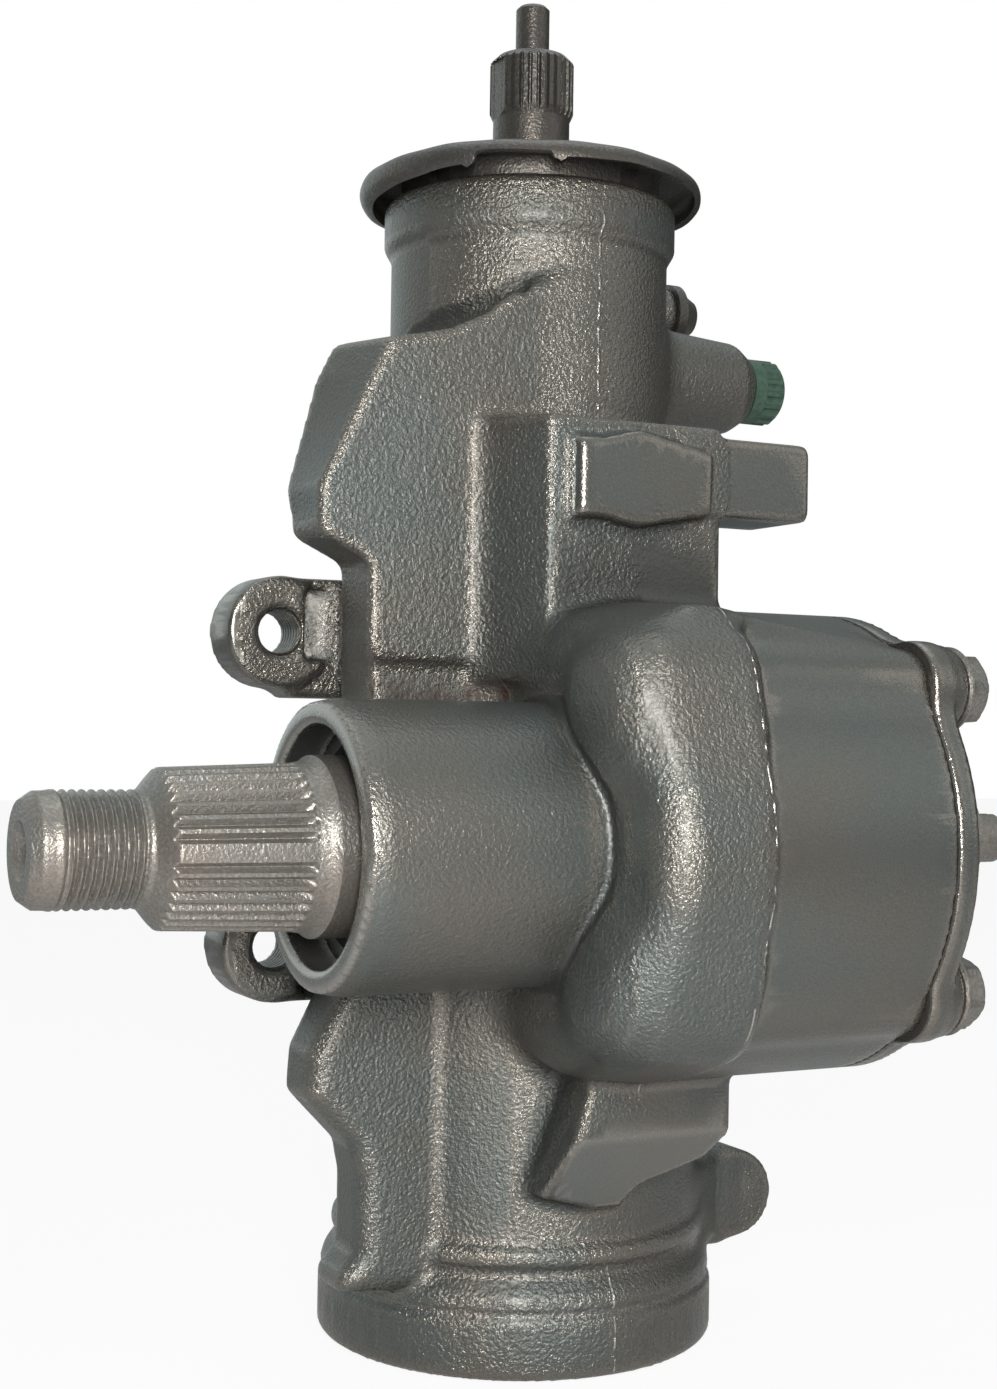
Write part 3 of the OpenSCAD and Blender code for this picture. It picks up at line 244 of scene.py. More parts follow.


# Graphite paint over a sand casting: pebbles by the grain attribute; by the edge attribute, edges lighter
# for worn paint and as painted highlight, fillets and the knuckle lighter as painted highlight, and hollows
# and other marked spots darker as painted shade; rust above zero by the rust attribute, and below zero
# lighter paint, a painted reflection, on the boss's end and the pad's facet
def makeCastingPaint(look):
    material, place, feed = newFinish("castingPaint", Coat_Weight=0.12, Coat_Roughness=0.22)
    grain, edge, rust, seamZone, thread = (attributeWire(place, key)
                                           for key in ("grain", "edge", "rust", "seam", "thread"))
    inward = 0.0 - edge
    # Parting line: a thin plane across x that leans a little with y, wavering by noise
    x, y = (place.node("ShaderNodeSeparateXYZ", None, {0: place}, i) for i in (0, 1))
    waver = place.noise(look["waverScale"], 2.0) * look["waver"] - look["waver"] / 2
    off = x - (look["seamAt"] + look["seamLean"] * (y + look["seamFrom"])) + waver
    seam = seamZone * off.size().ease(look["seamHalf"], 0.2 * look["seamHalf"])
    drift = place.noise(look["driftScale"], 3.0).ease(0.36, 0.64)
    pebble = place.noise(look["pebbleScale"], 2.5, 0.55)
    fine = place.noise(look["fineScale"], 2.0, 0.6)
    paint = drift.blend(look["cool"], look["warm"])
    paint = (fine.ease(0.3, 0.75) * look["fineShare"]).blend(paint, look["edge"])
    # Convex edges lighter: worn paint, and painted highlight
    paint = (edge.ease(0.15, 0.8) * look["edgeWearAndHighlightShare"]).blend(paint, look["edge"])
    # Painted highlight: concave fillets lightened towards the edge colour
    filletHighlight = inward.ease(0.15, 0.4) * inward.ease(1.0, 0.6)
    paint = (filletHighlight * look["filletHighlightShare"]).blend(paint, look["edge"])
    # Painted shade: deep hollows darkened towards the hollow colour
    paint = (inward.ease(0.5, 1.3) * look["hollowShare"]).blend(paint, look["hollow"])
    # Painted reflection: lighter paint where the rust attribute is below zero, on the boss's end and, less,
    # on the pad's facet
    paintedReflection = (0.0 - rust).ease(0.1, 0.9)
    paint = (paintedReflection * look["reflectionShare"]).blend(paint, look["seam"])
    rust = rust.maths("MAXIMUM", rust, 0.0) * place.noise(look["rustScale"], 4.0).ease(0.25, 0.55)
    paint = rust.blend(paint, look["rust"])
    specks = seam * place.noise(look["spotScale"], 1.0).ease(0.42, 0.56)
    paint = (specks * look["seamShare"]).blend(paint, look["seam"])
    # Bends shine, deep creases don't
    bent = edge.size().ease(0.08, 0.5) - inward.ease(0.6, 1.1)
    rough = look["rough"] + look["roughByGrain"] * grain - look["roughByFine"] * fine.ease(0.35, 0.7)
    rough = rough - look["roughByBend"] * bent + look["roughByRust"] * rust
    # Thread in the ears: a wave along y
    ridges = thread * y.maths("SINE", y * (2 * math.pi / look["threadPitch"]))
    height = pebble * grain + fine * (0.06 + 0.16 * grain) + specks * 0.6 + 0.5 * ridges
    feed(Base_Color=paint, Roughness=rough, Metallic=look["metal"] - rust * look["metal"],
         Normal=height.relief(look["bump"], look["pebbleDepth"]))
    return material


steelPaint = {
    "warm": (0.205, 0.186, 0.166), "cool": (0.176, 0.174, 0.164), "spark": (0.36, 0.335, 0.30),
    "speckScale": 1500.0, "driftScale": 60.0, "waveScale": 420.0, "rough": 0.46, "metal": 0.8,
    "bump": 0.35, "depth": 0.0006,
}


# The same paint on turned steel: fine speckle, thin bump
def makeSteelPaint(look, name="steelPaint", darken=1.0):
    material, place, feed = newFinish(name, Coat_Weight=0.1, Coat_Roughness=0.25)
    shade = {key: tuple(c * darken for c in look[key]) for key in ("warm", "cool", "spark")}
    speck = place.noise(look["speckScale"], 2.0, 0.6)
    drift = place.noise(look["driftScale"], 3.0).ease(0.35, 0.65)
    paint = drift.blend(shade["cool"], shade["warm"])
    paint = (speck.ease(0.4, 0.75) * 0.4).blend(paint, shade["spark"])
    height = speck + 0.6 * place.noise(look["waveScale"])
    feed(Base_Color=paint, Roughness=look["rough"] - 0.14 * speck.ease(0.35, 0.7),
         Metallic=look["metal"] - 0.1 * speck, Normal=height.relief(look["bump"], look["depth"]))
    return material


# Ground or oiled metal: tint and roughness drift with fine scratches of noise
def makeMetal(name, dark, light, rough, scale=240.0):
    material, place, feed = newFinish(name, Metallic=1.0)
    drift = place.noise(scale, 4.0, 0.6)
    feed(Base_Color=drift.ease(0.3, 0.7).blend(dark, light),
         Roughness=rough + 0.14 * place.noise(scale * 4.0),
         Normal=place.noise(scale * 6.0).relief(0.12, 0.0003))
    return material


# Moulded plastic or rubber: fine grain in colour and bump
def makeMoulded(name, dark, light, rough, scale=900.0):
    material, place, feed = newFinish(name)
    grainy = place.noise(scale, 3.0)
    feed(Base_Color=grainy.ease(0.3, 0.7).blend(dark, light), Roughness=rough + 0.12 * grainy,
         Normal=grainy.relief(0.25, 0.0004))
    return material


finishes = {
    "painted_casting": makeCastingPaint(castingPaint),
    "painted_steel": makeSteelPaint(steelPaint),
    "shaded_paint": makeSteelPaint(steelPaint, "shadedPaint", 0.42),
    "bare_steel": makeMetal("groundSteel", (0.42, 0.42, 0.43), (0.58, 0.58, 0.59), 0.24),
    "dark_steel": makeMetal("oiledSteel", (0.16, 0.16, 0.17), (0.26, 0.26, 0.27), 0.34),
    "bronze": makeMetal("plainBronze", (0.50, 0.34, 0.15), (0.64, 0.45, 0.22), 0.3),
    "seal_rubber": makeMoulded("sealRubber", (0.012, 0.012, 0.013), (0.022, 0.022, 0.024), 0.55),
    "green_plastic": makeMoulded("greenPlastic", (0.022, 0.055, 0.037), (0.042, 0.088, 0.060), 0.42),
    "black_plastic": makeMoulded("blackPlastic", (0.020, 0.021, 0.021), (0.034, 0.034, 0.033), 0.45),
}
print("finishes made:", len(finishes))


# Distance to a closed outline: its nearest edge, with a sign from the edges crossed
def outlineDistance(points, u, v):
    points = np.asarray(points, np.float64)
    near = np.full(np.broadcast(u, v).shape, 1e12)
    inside = np.zeros(near.shape, bool)
    for (ax, ay), (bx, by) in zip(points, np.roll(points, -1, axis=0)):
        ex, ey = bx - ax, by - ay
        along = np.clip(((u - ax) * ex + (v - ay) * ey) / (ex * ex + ey * ey + 1e-12), 0.0, 1.0)
        near = np.minimum(near, (u - ax - along * ex) ** 2 + (v - ay - along * ey) ** 2)
        if ey:
            inside ^= ((ay > v) != (by > v)) & (u < ax + (v - ay) * ex / ey)
    return np.where(inside, -1.0, 1.0) * np.sqrt(near)


# Outline with each corner rounded: a curve of the second degree that touches both its edges
def roundedOutline(points, radius, steps=5):
    points = np.asarray(points, np.float64)
    before, after = np.roll(points, 1, axis=0) - points, np.roll(points, -1, axis=0) - points
    reachA, reachB = (np.linalg.norm(v, axis=1, keepdims=True) for v in (before, after))
    before, after = before / reachA, after / reachB
    half = np.arccos(np.clip((before * after).sum(1, keepdims=True), -1.0, 1.0)) / 2.0
    cut = np.minimum(radius / np.tan(np.maximum(half, 1e-3)), 0.48 * np.minimum(reachA, reachB))
    spread = np.linspace(0.0, 1.0, steps)[None, :, None]
    start, end = points + before * cut, points + after * cut
    arc = ((1 - spread) ** 2 * start[:, None] + 2 * spread * (1 - spread) * points[:, None]
           + spread ** 2 * end[:, None])
    return arc.reshape(-1, 2)


# Two walls that meet in a rounded edge, from distances to both that hold the edge's radius already
def roundedEdge(wall, face, edge):
    return np.minimum(np.maximum(wall, face), 0) + np.hypot(np.maximum(wall, 0), np.maximum(face, 0)) - edge


# Block of distances on a square lattice, below zero in metal; shapes join and cut it softly in their
# own boxes
class CastBlock:
    def __init__(self, low, high, step):
        self.step = step
        self.axes = [np.arange(a, b + step / 2, step, dtype=np.float32) for a, b in zip(low, high)]
        farAway = 60.0
        self.values = np.full([len(a) for a in self.axes], farAway, np.float32)

    def window(self, low, high):
        spans = [slice(*np.searchsorted(axis, (a, b + 1e-6))) for axis, a, b in zip(self.axes, low, high)]
        x, y, z = (axis[span] for axis, span in zip(self.axes, spans))
        return tuple(spans), x[:, None, None], y[None, :, None], z[None, None, :]

    def softMin(self, first, second, soft):
        if not soft:
            return np.minimum(first, second)
        near = np.maximum(soft - np.abs(first - second), 0.0) / soft
        return np.minimum(first, second) - near * near * (soft / 4.0)

    def add(self, shape, low, high, soft=0.0, sign=1.0):
        pad = soft + 3 * self.step
        spans, x, y, z = self.window(np.subtract(low, pad), np.add(high, pad))
        found = shape(x, y, z).astype(np.float32)
        self.values[spans] = sign * self.softMin(sign * self.values[spans], found, soft)

    def cut(self, shape, low, high, soft=0.0):
        self.add(shape, low, high, soft, -1.0)

    # Values between the lattice points
    def sample(self, points):
        place = [(points[:, i] - self.axes[i][0]) / self.step for i in range(3)]
        base = [np.clip(p.astype(int), 0, n - 2) for p, n in zip(place, self.values.shape)]
        part = [p - b for p, b in zip(place, base)]
        total = 0.0
        for corner in np.ndindex(2, 2, 2):
            weight = np.prod([p if c else 1 - p for p, c in zip(part, corner)], axis=0)
            total = total + weight * self.values[tuple(b + c for b, c in zip(base, corner))]
        return total

    # Surface nets: a vertex in each mixed cell at the mean of its edges' crossings, pulled onto the zero
    # level, and a quad round each lattice edge that crosses it
    def surface(self):
        metal = self.values < 0
        cells = [n - 1 for n in metal.shape]
        count = np.zeros(cells, np.int8)
        for i, j, k in np.ndindex(2, 2, 2):
            count += metal[i:i + cells[0], j:j + cells[1], k:k + cells[2]]
        mixed = np.argwhere((count > 0) & (count < 8))
        number = np.full(cells, -1, np.int32)
        number[tuple(mixed.T)] = np.arange(len(mixed))
        total, hits = np.zeros((len(mixed), 3)), np.zeros(len(mixed))
        for axis in range(3):
            for side in np.ndindex(2, 2):
                start = np.insert(np.array(side), axis, 0)
                end = np.insert(np.array(side), axis, 1)
                a = self.values[tuple((mixed + start).T)].astype(np.float64)
                b = self.values[tuple((mixed + end).T)].astype(np.float64)
                crossed = (a < 0) != (b < 0)
                share = np.where(crossed, a / np.where(crossed, a - b, 1.0), 0.0)
                total += crossed[:, None] * (start + share[:, None] * (end - start))
                hits += crossed
        origin = np.array([axis[0] for axis in self.axes])
        points = origin + self.step * (mixed + total / hits[:, None])
        for _ in range(2):
            reach = 0.25 * self.step
            slope = np.stack([self.sample(points + reach * e) - self.sample(points - reach * e)
                              for e in np.eye(3)], -1) / (2 * reach)
            move = self.sample(points)[:, None] * slope / np.maximum((slope ** 2).sum(1, keepdims=True), 0.2)
            points -= np.clip(move, -0.3 * self.step, 0.3 * self.step)
        quads = []
        for axis in range(3):
            u, v = (axis + 1) % 3, (axis + 2) % 3
            low = np.moveaxis(metal, axis, 0)[:-1]
            high = np.moveaxis(metal, axis, 0)[1:]
            spots = np.argwhere(low != high)
            spot = np.zeros_like(spots)
            spot[:, [axis] + [i for i in range(3) if i != axis]] = spots
            inner = (spot[:, u] > 0) & (spot[:, v] > 0)
            spot = spot[inner & (spot[:, u] < cells[u]) & (spot[:, v] < cells[v])]
            stepU, stepV = np.eye(3, dtype=int)[u], np.eye(3, dtype=int)[v]
            ring = [spot - stepU - stepV, spot - stepV, spot, spot - stepU]
            quad = np.stack([number[tuple(r.T)] for r in ring], -1)
            flip = ~metal[tuple(spot.T)]
            quad[flip] = quad[flip][:, ::-1]
            quads.append(quad)
        return points, np.concatenate(quads)

    # Bend of the surface at points, from the spread of distances about them: above zero on ridges
    def bend(self, points, reach):
        spread = sum(self.sample(points + reach * s * e) for e in np.eye(3) for s in (-1, 1))
        return (spread - 6 * self.sample(points)) / reach


# Turned shape: the outline of (radius, height) carried round an axis, from a table of distances
def turned(profile, axis="z", centre=(0.0, 0.0)):
    outline = [(-90.0 if r == 0 else r, t) for r, t in profile]
    tick = 0.25

    def distance(x, y, z):
        parts = {"x": (y, z, x), "y": (x, z, y), "z": (x, y, z)}[axis]
        radius = np.hypot(parts[0] - centre[0], parts[1] - centre[1])
        height = parts[2].ravel()
        ticks = np.arange(0.0, radius.max() + 2 * tick, tick)
        table = outlineDistance(outline, ticks[:, None], height[None, :]).astype(np.float32)
        flat = np.squeeze(radius, axis="xyz".index(axis)) / tick
        base = flat.astype(int)
        share = (flat - base)[..., None].astype(np.float32)
        found = table[base] * (1 - share) + table[base + 1] * share
        return np.moveaxis(found, 2, "xyz".index(axis))

    return distance


def rod(radius, low, high, axis="z", centre=(0.0, 0.0), far=None):
    return turned([(0, low), (radius, low), (radius if far is None else far, high), (0, high)], axis, centre)


# Plate: an outline of (x, z) carried along y, or of (x, y) along z, with rounded corners and edges
def plate(points, low, high, corner=3.0, edge=2.5, axis="y"):
    outline = roundedOutline(points, corner)

    def distance(x, y, z):
        across, along = (z, y) if axis == "y" else (y, z)
        wall = outlineDistance(outline, x, across) + edge
        face = np.maximum(low - along, along - high) + edge
        return roundedEdge(wall, face, edge)

    return distance


# Outline with heights over the gear axis, in the part's own heights
def lifted(points):
    return [(u, v + gearZ) for u, v in points]


# Bar with round ends between two points
def roundBar(start, end, radius):
    start, end = np.array(start, float), np.array(end, float)
    run = end - start

    def distance(x, y, z):
        dx, dy, dz = x - start[0], y - start[1], z - start[2]
        share = np.clip((dx * run[0] + dy * run[1] + dz * run[2]) / (run @ run), 0, 1)
        return np.sqrt((dx - share * run[0]) ** 2 + (dy - share * run[1]) ** 2
                       + (dz - share * run[2]) ** 2) - radius

    return distance


# Outline of the gear cover: a circle softly joined with a rounded square through the bolts
def coverWall(y, z, grow=0.0, corner=9.3):
    circle, soft = 48.6, 3.0
    ring = np.hypot(y - gearY, z - gearZ) - circle - grow
    boxY, boxZ = np.abs(y - gearY) - boltReach, np.abs(z - gearZ - boltRise) - boltReach
    outside = np.hypot(np.maximum(boxY, 0), np.maximum(boxZ, 0))
    square = outside + np.minimum(np.maximum(boxY, boxZ), 0) - corner - grow
    near = np.maximum(soft - np.abs(ring - square), 0.0) / soft
    return np.minimum(ring, square) - 0.25 * soft * near * near


# Slab with the cover's outline from a plane across x, with a rounded edge, up to a plane that leans with y;
# above and below the middle its wall draws in towards the rounded edge by the taper
def coverSlab(low, high, lean, edge, grow, taper):
    def distance(x, y, z):
        away = 1.0 - np.exp(-((z - gearZ) / 20.0) ** 2)
        shrink = taper * away * np.clip((high - x) / (high - low), 0, 1)
        wall = coverWall(y, z, grow, 7.9) + edge + shrink
        return np.maximum(roundedEdge(wall, low - x + edge, edge), x - high - lean * (y + 70.0))

    return distance


# Scoop in the neck above the wing: start, end and radius of each bar that cuts it
scoopBars = [((-34.5, -3.0, 220.2), (-28.4, -17.0, 222.8), 2.9),
             ((-28.4, -17.0, 222.8), (-22.6, -24.2, 225.8), 2.3),
             ((-22.6, -24.2, 225.8), (-17.0, -28.9, 229.0), 1.6)]

# Outlines are (radius, length) for turned forms, (x, height over the gear axis) for upright plates, and
# (x, y) for frontBlock, padBevel and footWeb; bores are (radius, start, end)
castForm = {
    "low": (-76.0, -102.0, -3.0), "high": (69.0, 48.0, 257.0), "step": 1.0, "mostFaces": 186000,
    "barrel": [(0, 0), (42.9, 0), (44.4, 1.5), (44.4, 12.4), (43.2, 13.6), (43.9, 15.0), (43.2, 17.4),
               (41.4, 20.0), (40.2, 21.8), (41.4, 23.0), (41.7, 24.4), (41.3, 26.0), (40, 27.4),
               (40, 195.5), (37, 198.5), (31.6, 200.7), (31.6, 241), (33.3, 244), (33.3, 252.5),
               (31.8, neckTop), (0, neckTop)],
    "column": [(0, -25), (4, -25), (8, -23.8), (11.2, -21), (12.8, -16.5), (12.8, 0), (0, 0)],
    "columnInset": 4.0,
    "boss": [(0, -70.8), (27.6, -70.8), (28.5, -66.5), (28.5, 0), (0, 0)],
    "roof": [(-17, 31), (-13, 43.6), (-6, 47.6), (0, 47.6), (41, 41.2), (41, 31)],
    "wing": [(0, 36.6), (-51.4, 36.6), (-51.4, 57), (-62.8, 62.4), (-62.8, 72), (-47.4, 103.4),
             (-40.1, 105.1), (-33.2, 106.9), (-25.2, 110.9), (-18.9, 116.5), (-8, 120.6), (0, 120.9)],
    "wingFront": -30.8, "wingDraft": 0.42,
    "wingStep": [(-10, 15), (-50.4, 15), (-50.4, 40), (-10, 40)],
    "lowWing": [(-20, -22), (-45, -22), (-53, -30), (-60, -44), (-60.5, -53), (-50, -64), (-48.6, -71),
                (-48.6, -86), (-52.5, -90), (-52.5, -94), (-26.8, -95.6), (-20, -95.6)],
    "frontBlock": [(-27, -30.8), (-19, -47.5), (22.7, -47.5), (22.7, 0), (-27, 0)],
    "padBevel": [(-15.6, -46.8), (-13.2, -50.3), (-9, -50.3), (-9, -40), (-17.4, -40)],
    "lowPad": [(-17, 2.8), (-3.8, -1), (3.4, -1), (6, 3.6), (20, 9), (24, 15), (24, 40), (-9.2, 40),
               (-10.3, 24.4)],
    "footWeb": [(20, -34), (41, -15), (50, -7.2), (57, -6), (57, 4), (20, 4)],
    # Ears: x, z, radius, low and high end of the arm, start of the hole
    "ears": [(earX, earHigh, 11.9, -14, 12, -9), (earX, earLow, 11.9, -12, 14, -9),
             (56.0, 25.0, 10.2, -12, 16, -3.5)],
    "pressurePort": [(0, 0), (15.0, 0), (10.9, 53.5), (8.2, 57.6), (7.8, 58), (0, 58)],
    "wormBores": [(37.5, -4, 15), (39.5, 3.3, 5), (35.25, 14, 197), (15.9, 196, 202.5),
                  (22.5, barrelTop, 244), (25.05, 242.578, 256)],
    "sectorBores": [(34.8, -18.3, 47), (20.96, -48, -17), (23.4, -73, -47), (24.9, -61.9, -60.2)],
}


# Height over the slanted facet of the lower pad
def overFacet(y, z):
    return np.cos(facetTilt) * (facetFront - y) + np.sin(facetTilt) * (facetTop - z)


# Barrel and neck, chamber with rounded corners at its left, boss and shoulder
def addBody(block, form):
    block.add(turned(form["barrel"]), (-46, -46, -3), (46, 46, 257))
    block.add(coverSlab(-21.0, 1.6, -0.02, 8.0, 0.5, 3.0), (-27, -102, 60), (4, 2, 164), 5.0)
    for y, z in boltCorners:
        if y < gearY:
            y, z = y + form["columnInset"], z - math.copysign(form["columnInset"], z - gearZ)
            column = turned(form["column"], "x", (y, z))
            block.add(column, (-27, y - 15, z - 15), (1, y + 15, z + 15), 12.0)
    block.add(coverSlab(-2.0, 45.3, 0.0, 1.0, 0.0, 0.0), (-3, -102, 60), (46, 2, 164))
    block.add(turned(form["boss"], "x", (gearY, gearZ)), (-72, -80, 82), (1, -20, 141), 1.6)
    roof = plate(lifted(form["roof"]), gearY - boltReach, gearY + boltReach, 5.0, 4.0)
    block.add(roof, (-18, gearY - 32, 140), (42, gearY + 32, 162), 5.0)


# Wings, front block with its slanted wall, pad and arm, lower pad
def addFront(block, form):
    wing = plate(lifted(form["wing"]), form["wingFront"], -14.0, 4.0, 1.6)

    # Its left wall leans out to the back, most at the top
    def drafted(x, y, z):
        lean = (y - form["wingFront"]) * form["wingDraft"] * np.clip((z - 178.0) / 29.0, 0, 1)
        return wing(x + lean * np.clip((-36.0 - x) / 10.0, 0, 1), y, z)

    block.add(drafted, (-70, -32, 140), (1, -13, 234), 2.5)
    block.add(plate(lifted(form["wingStep"]), -29.2, -12, 3.0, 2.0), (-52, -30, 126), (-9, -11, 152), 2.0)
    block.add(plate(lifted(form["lowWing"]), -25, -8, 3.0, 4.6), (-62, -26, 12), (-19, -7, 91), 1.8)
    low, high, padZ = gearZ + 33, barrelTop - 2, gearZ + 68
    block.add(plate(form["frontBlock"], low, high, 1.8, 1.2, "z"),
              (-28, -48, low - 1), (24, 1, high + 1), 3.2)
    arm = [(12, padZ + 0.8), (45.0, padZ + 0.8), (45.0, high - 2), (12, high - 2)]
    block.add(plate(arm, -48.1, -27.5, 2.5, 1.0), (11, -49, padZ), (46, -27, high), 1.5)
    pad = [(-13.0, padZ), (0.6, padZ - 2.6), (18.2, padZ + 0.8), (18.6, high - 6.2), (0.3, high - 2.4),
           (-13.0, high - 6.0)]
    block.add(plate(pad, -50.6, 0, 1.0, 0.6), (-15, -51, padZ - 3), (20, 1, high), 1.2)
    block.add(plate(form["padBevel"], padZ - 1, high - 4.5, 0.6, 0.6, "z"),
              (-19, -51, padZ - 2), (-8, -39, high - 4), 1.2)
    lowPad = plate([(u, v + footZ) for u, v in form["lowPad"]], facetFront, 0, 1.0, 1.0)
    block.add(lambda x, y, z: np.maximum(lowPad(x, y, z), overFacet(y, z)),
              (-19, -53, footZ - 1), (25, 1, footZ + 41), 2.5)


# Ears with their arms, and the web that fairs the foot ear into the barrel
def addEars(block, form):
    block.add(plate(form["footWeb"], 14.8, 35.2, 4.0, 2.5, "z"), (19, -35, 13), (58, 5, 37), 5.0)
    for x, z, radius, armLow, armHigh, _ in form["ears"]:
        inner, side = math.copysign(28.0, x), math.copysign(1.0, x)
        arm = [(x, z + radius - 0.2), (x, z - radius + 0.2), (x - 3.0 * side, z + armLow),
               (inner, z + armLow), (inner, z + armHigh)]
        block.add(plate(arm, -5.0, 6.4, 0.5, 1.6),
                  (min(x, inner) - 14, -6, z - 18), (max(x, inner) + 14, 8, z + 18), 2.5)
        rim = 0.8
        disc = rod(radius - rim, -5.4, 6.0, "y", (x, z))
        block.add(lambda a, b, c: disc(a, b, c) - rim, (x - 13, -7, z - 13), (x + 13, 8, z + 13), 1.2)
        if x < 0:
            # Pocket that ramps up from the hole to the wing
            near, far = x + 5.6, x + 14
            low, high = (z - 5.9, z + 9.6) if z > gearZ else (z - 9.6, z + 5.9)
            pocket = plate([(near, low), (far, low), (far, high), (near, high)], -9, 4, 2.0, 0.5)
            ramp = lambda a, b, c: b + 2.2 + 0.36 * (a - x - 5.6)
            block.cut(lambda a, b, c: np.maximum(pocket(a, b, c), 0.94 * ramp(a, b, c)),
                      (x + 4, -9, z - 11), (x + 15, 4, z + 11), 1.2)


# Bores along the worm and across it, a little over their pieces, and the holes of bolts, ports and ears
def cutBores(block, form):
    for radius, start, end in form["wormBores"]:
        block.cut(rod(radius, start, end), (-41, -41, start), (41, 41, end))
    for radius, start, end in form["sectorBores"]:
        soft = 0.4 if start < -70 else 0
        block.cut(rod(radius, start, end, "x", (gearY, gearZ)), (start, -86, 76), (end, -14, 147), soft)
    for y, z in boltCorners:
        block.cut(rod(4.75, 34.4, 47, "x", (y, z)), (34, y - 5, z - 5), (47, y + 5, z + 5))
    block.cut(rod(6.2, 19.3, 60, "x", pressureAt), (19, -7, 211), (60, 7, 224), 0.8)
    block.cut(rod(4.2, 10, 49, "x", returnAt), (10, 12, 233), (49, 22, 243), 0.8)
    for x, z, _, _, _, start in form["ears"]:
        block.cut(rod(4.5, start, 9, "y", (x, z)), (x - 5, start, z - 5), (x + 5, 9, z + 5), 0.5)
        if x < 0:
            mouth = rod(6.6, -7.4, -4.4, "y", (x, z), 4.4)
            block.cut(mouth, (x - 7, -8, z - 7), (x + 7, -4, z + 7), 0.3)


def castHousing(form):
    block = CastBlock(form["low"], form["high"], form["step"])
    addBody(block, form)
    addFront(block, form)
    addEars(block, form)
    block.add(turned(form["pressurePort"], "x", pressureAt), (-1, -16, 200), (59, 16, 234), 6.0)
    block.add(rod(8.0, 0, 47, "x", returnAt, 6.6), (-1, 8, 229), (48, 26, 247), 5.0)
    for bar in scoopBars:
        block.cut(roundBar(*bar), (-38, -33, 216), (-13, -1, 234), 1.5)
    cutBores(block, form)
    points, quads = block.surface()
    print("housing surface:", len(points), "points")
    return block, points, quads


# Mesh thinned to a count of triangles by collapsing its flattest edges
def thinned(name, points, quads, most):
    mesh = meshFromArrays(name, points, [quads])
    holder = bpy.data.objects.new(name + "Raw", mesh)
    bpy.context.scene.collection.objects.link(holder)
    if 2 * len(quads) > most:
        thin = holder.modifiers.new("thin", "DECIMATE")
        thin.ratio = most / (2.0 * len(quads))
    ready = bpy.data.meshes.new_from_object(holder.evaluated_get(bpy.context.evaluated_depsgraph_get()))
    bpy.data.objects.remove(holder)
    bpy.data.meshes.remove(mesh)
    ready.name = name
    return ready


def vertexArray(mesh):
    flat = np.empty(len(mesh.vertices) * 3, np.float32)
    mesh.vertices.foreach_get("co", flat)
    return flat.reshape(-1, 3) / metres


def setAttribute(mesh, name, values):
    layer = mesh.attributes.new(name, "FLOAT", "POINT")
    layer.data.foreach_set("value", np.asarray(values, np.float32))


# Bump of a value about a centre, 1 at the centre and 0 past its width
def hump(value, centre, width):
    return np.clip(1.0 - np.abs(value - centre) / width, 0.0, 1.0)


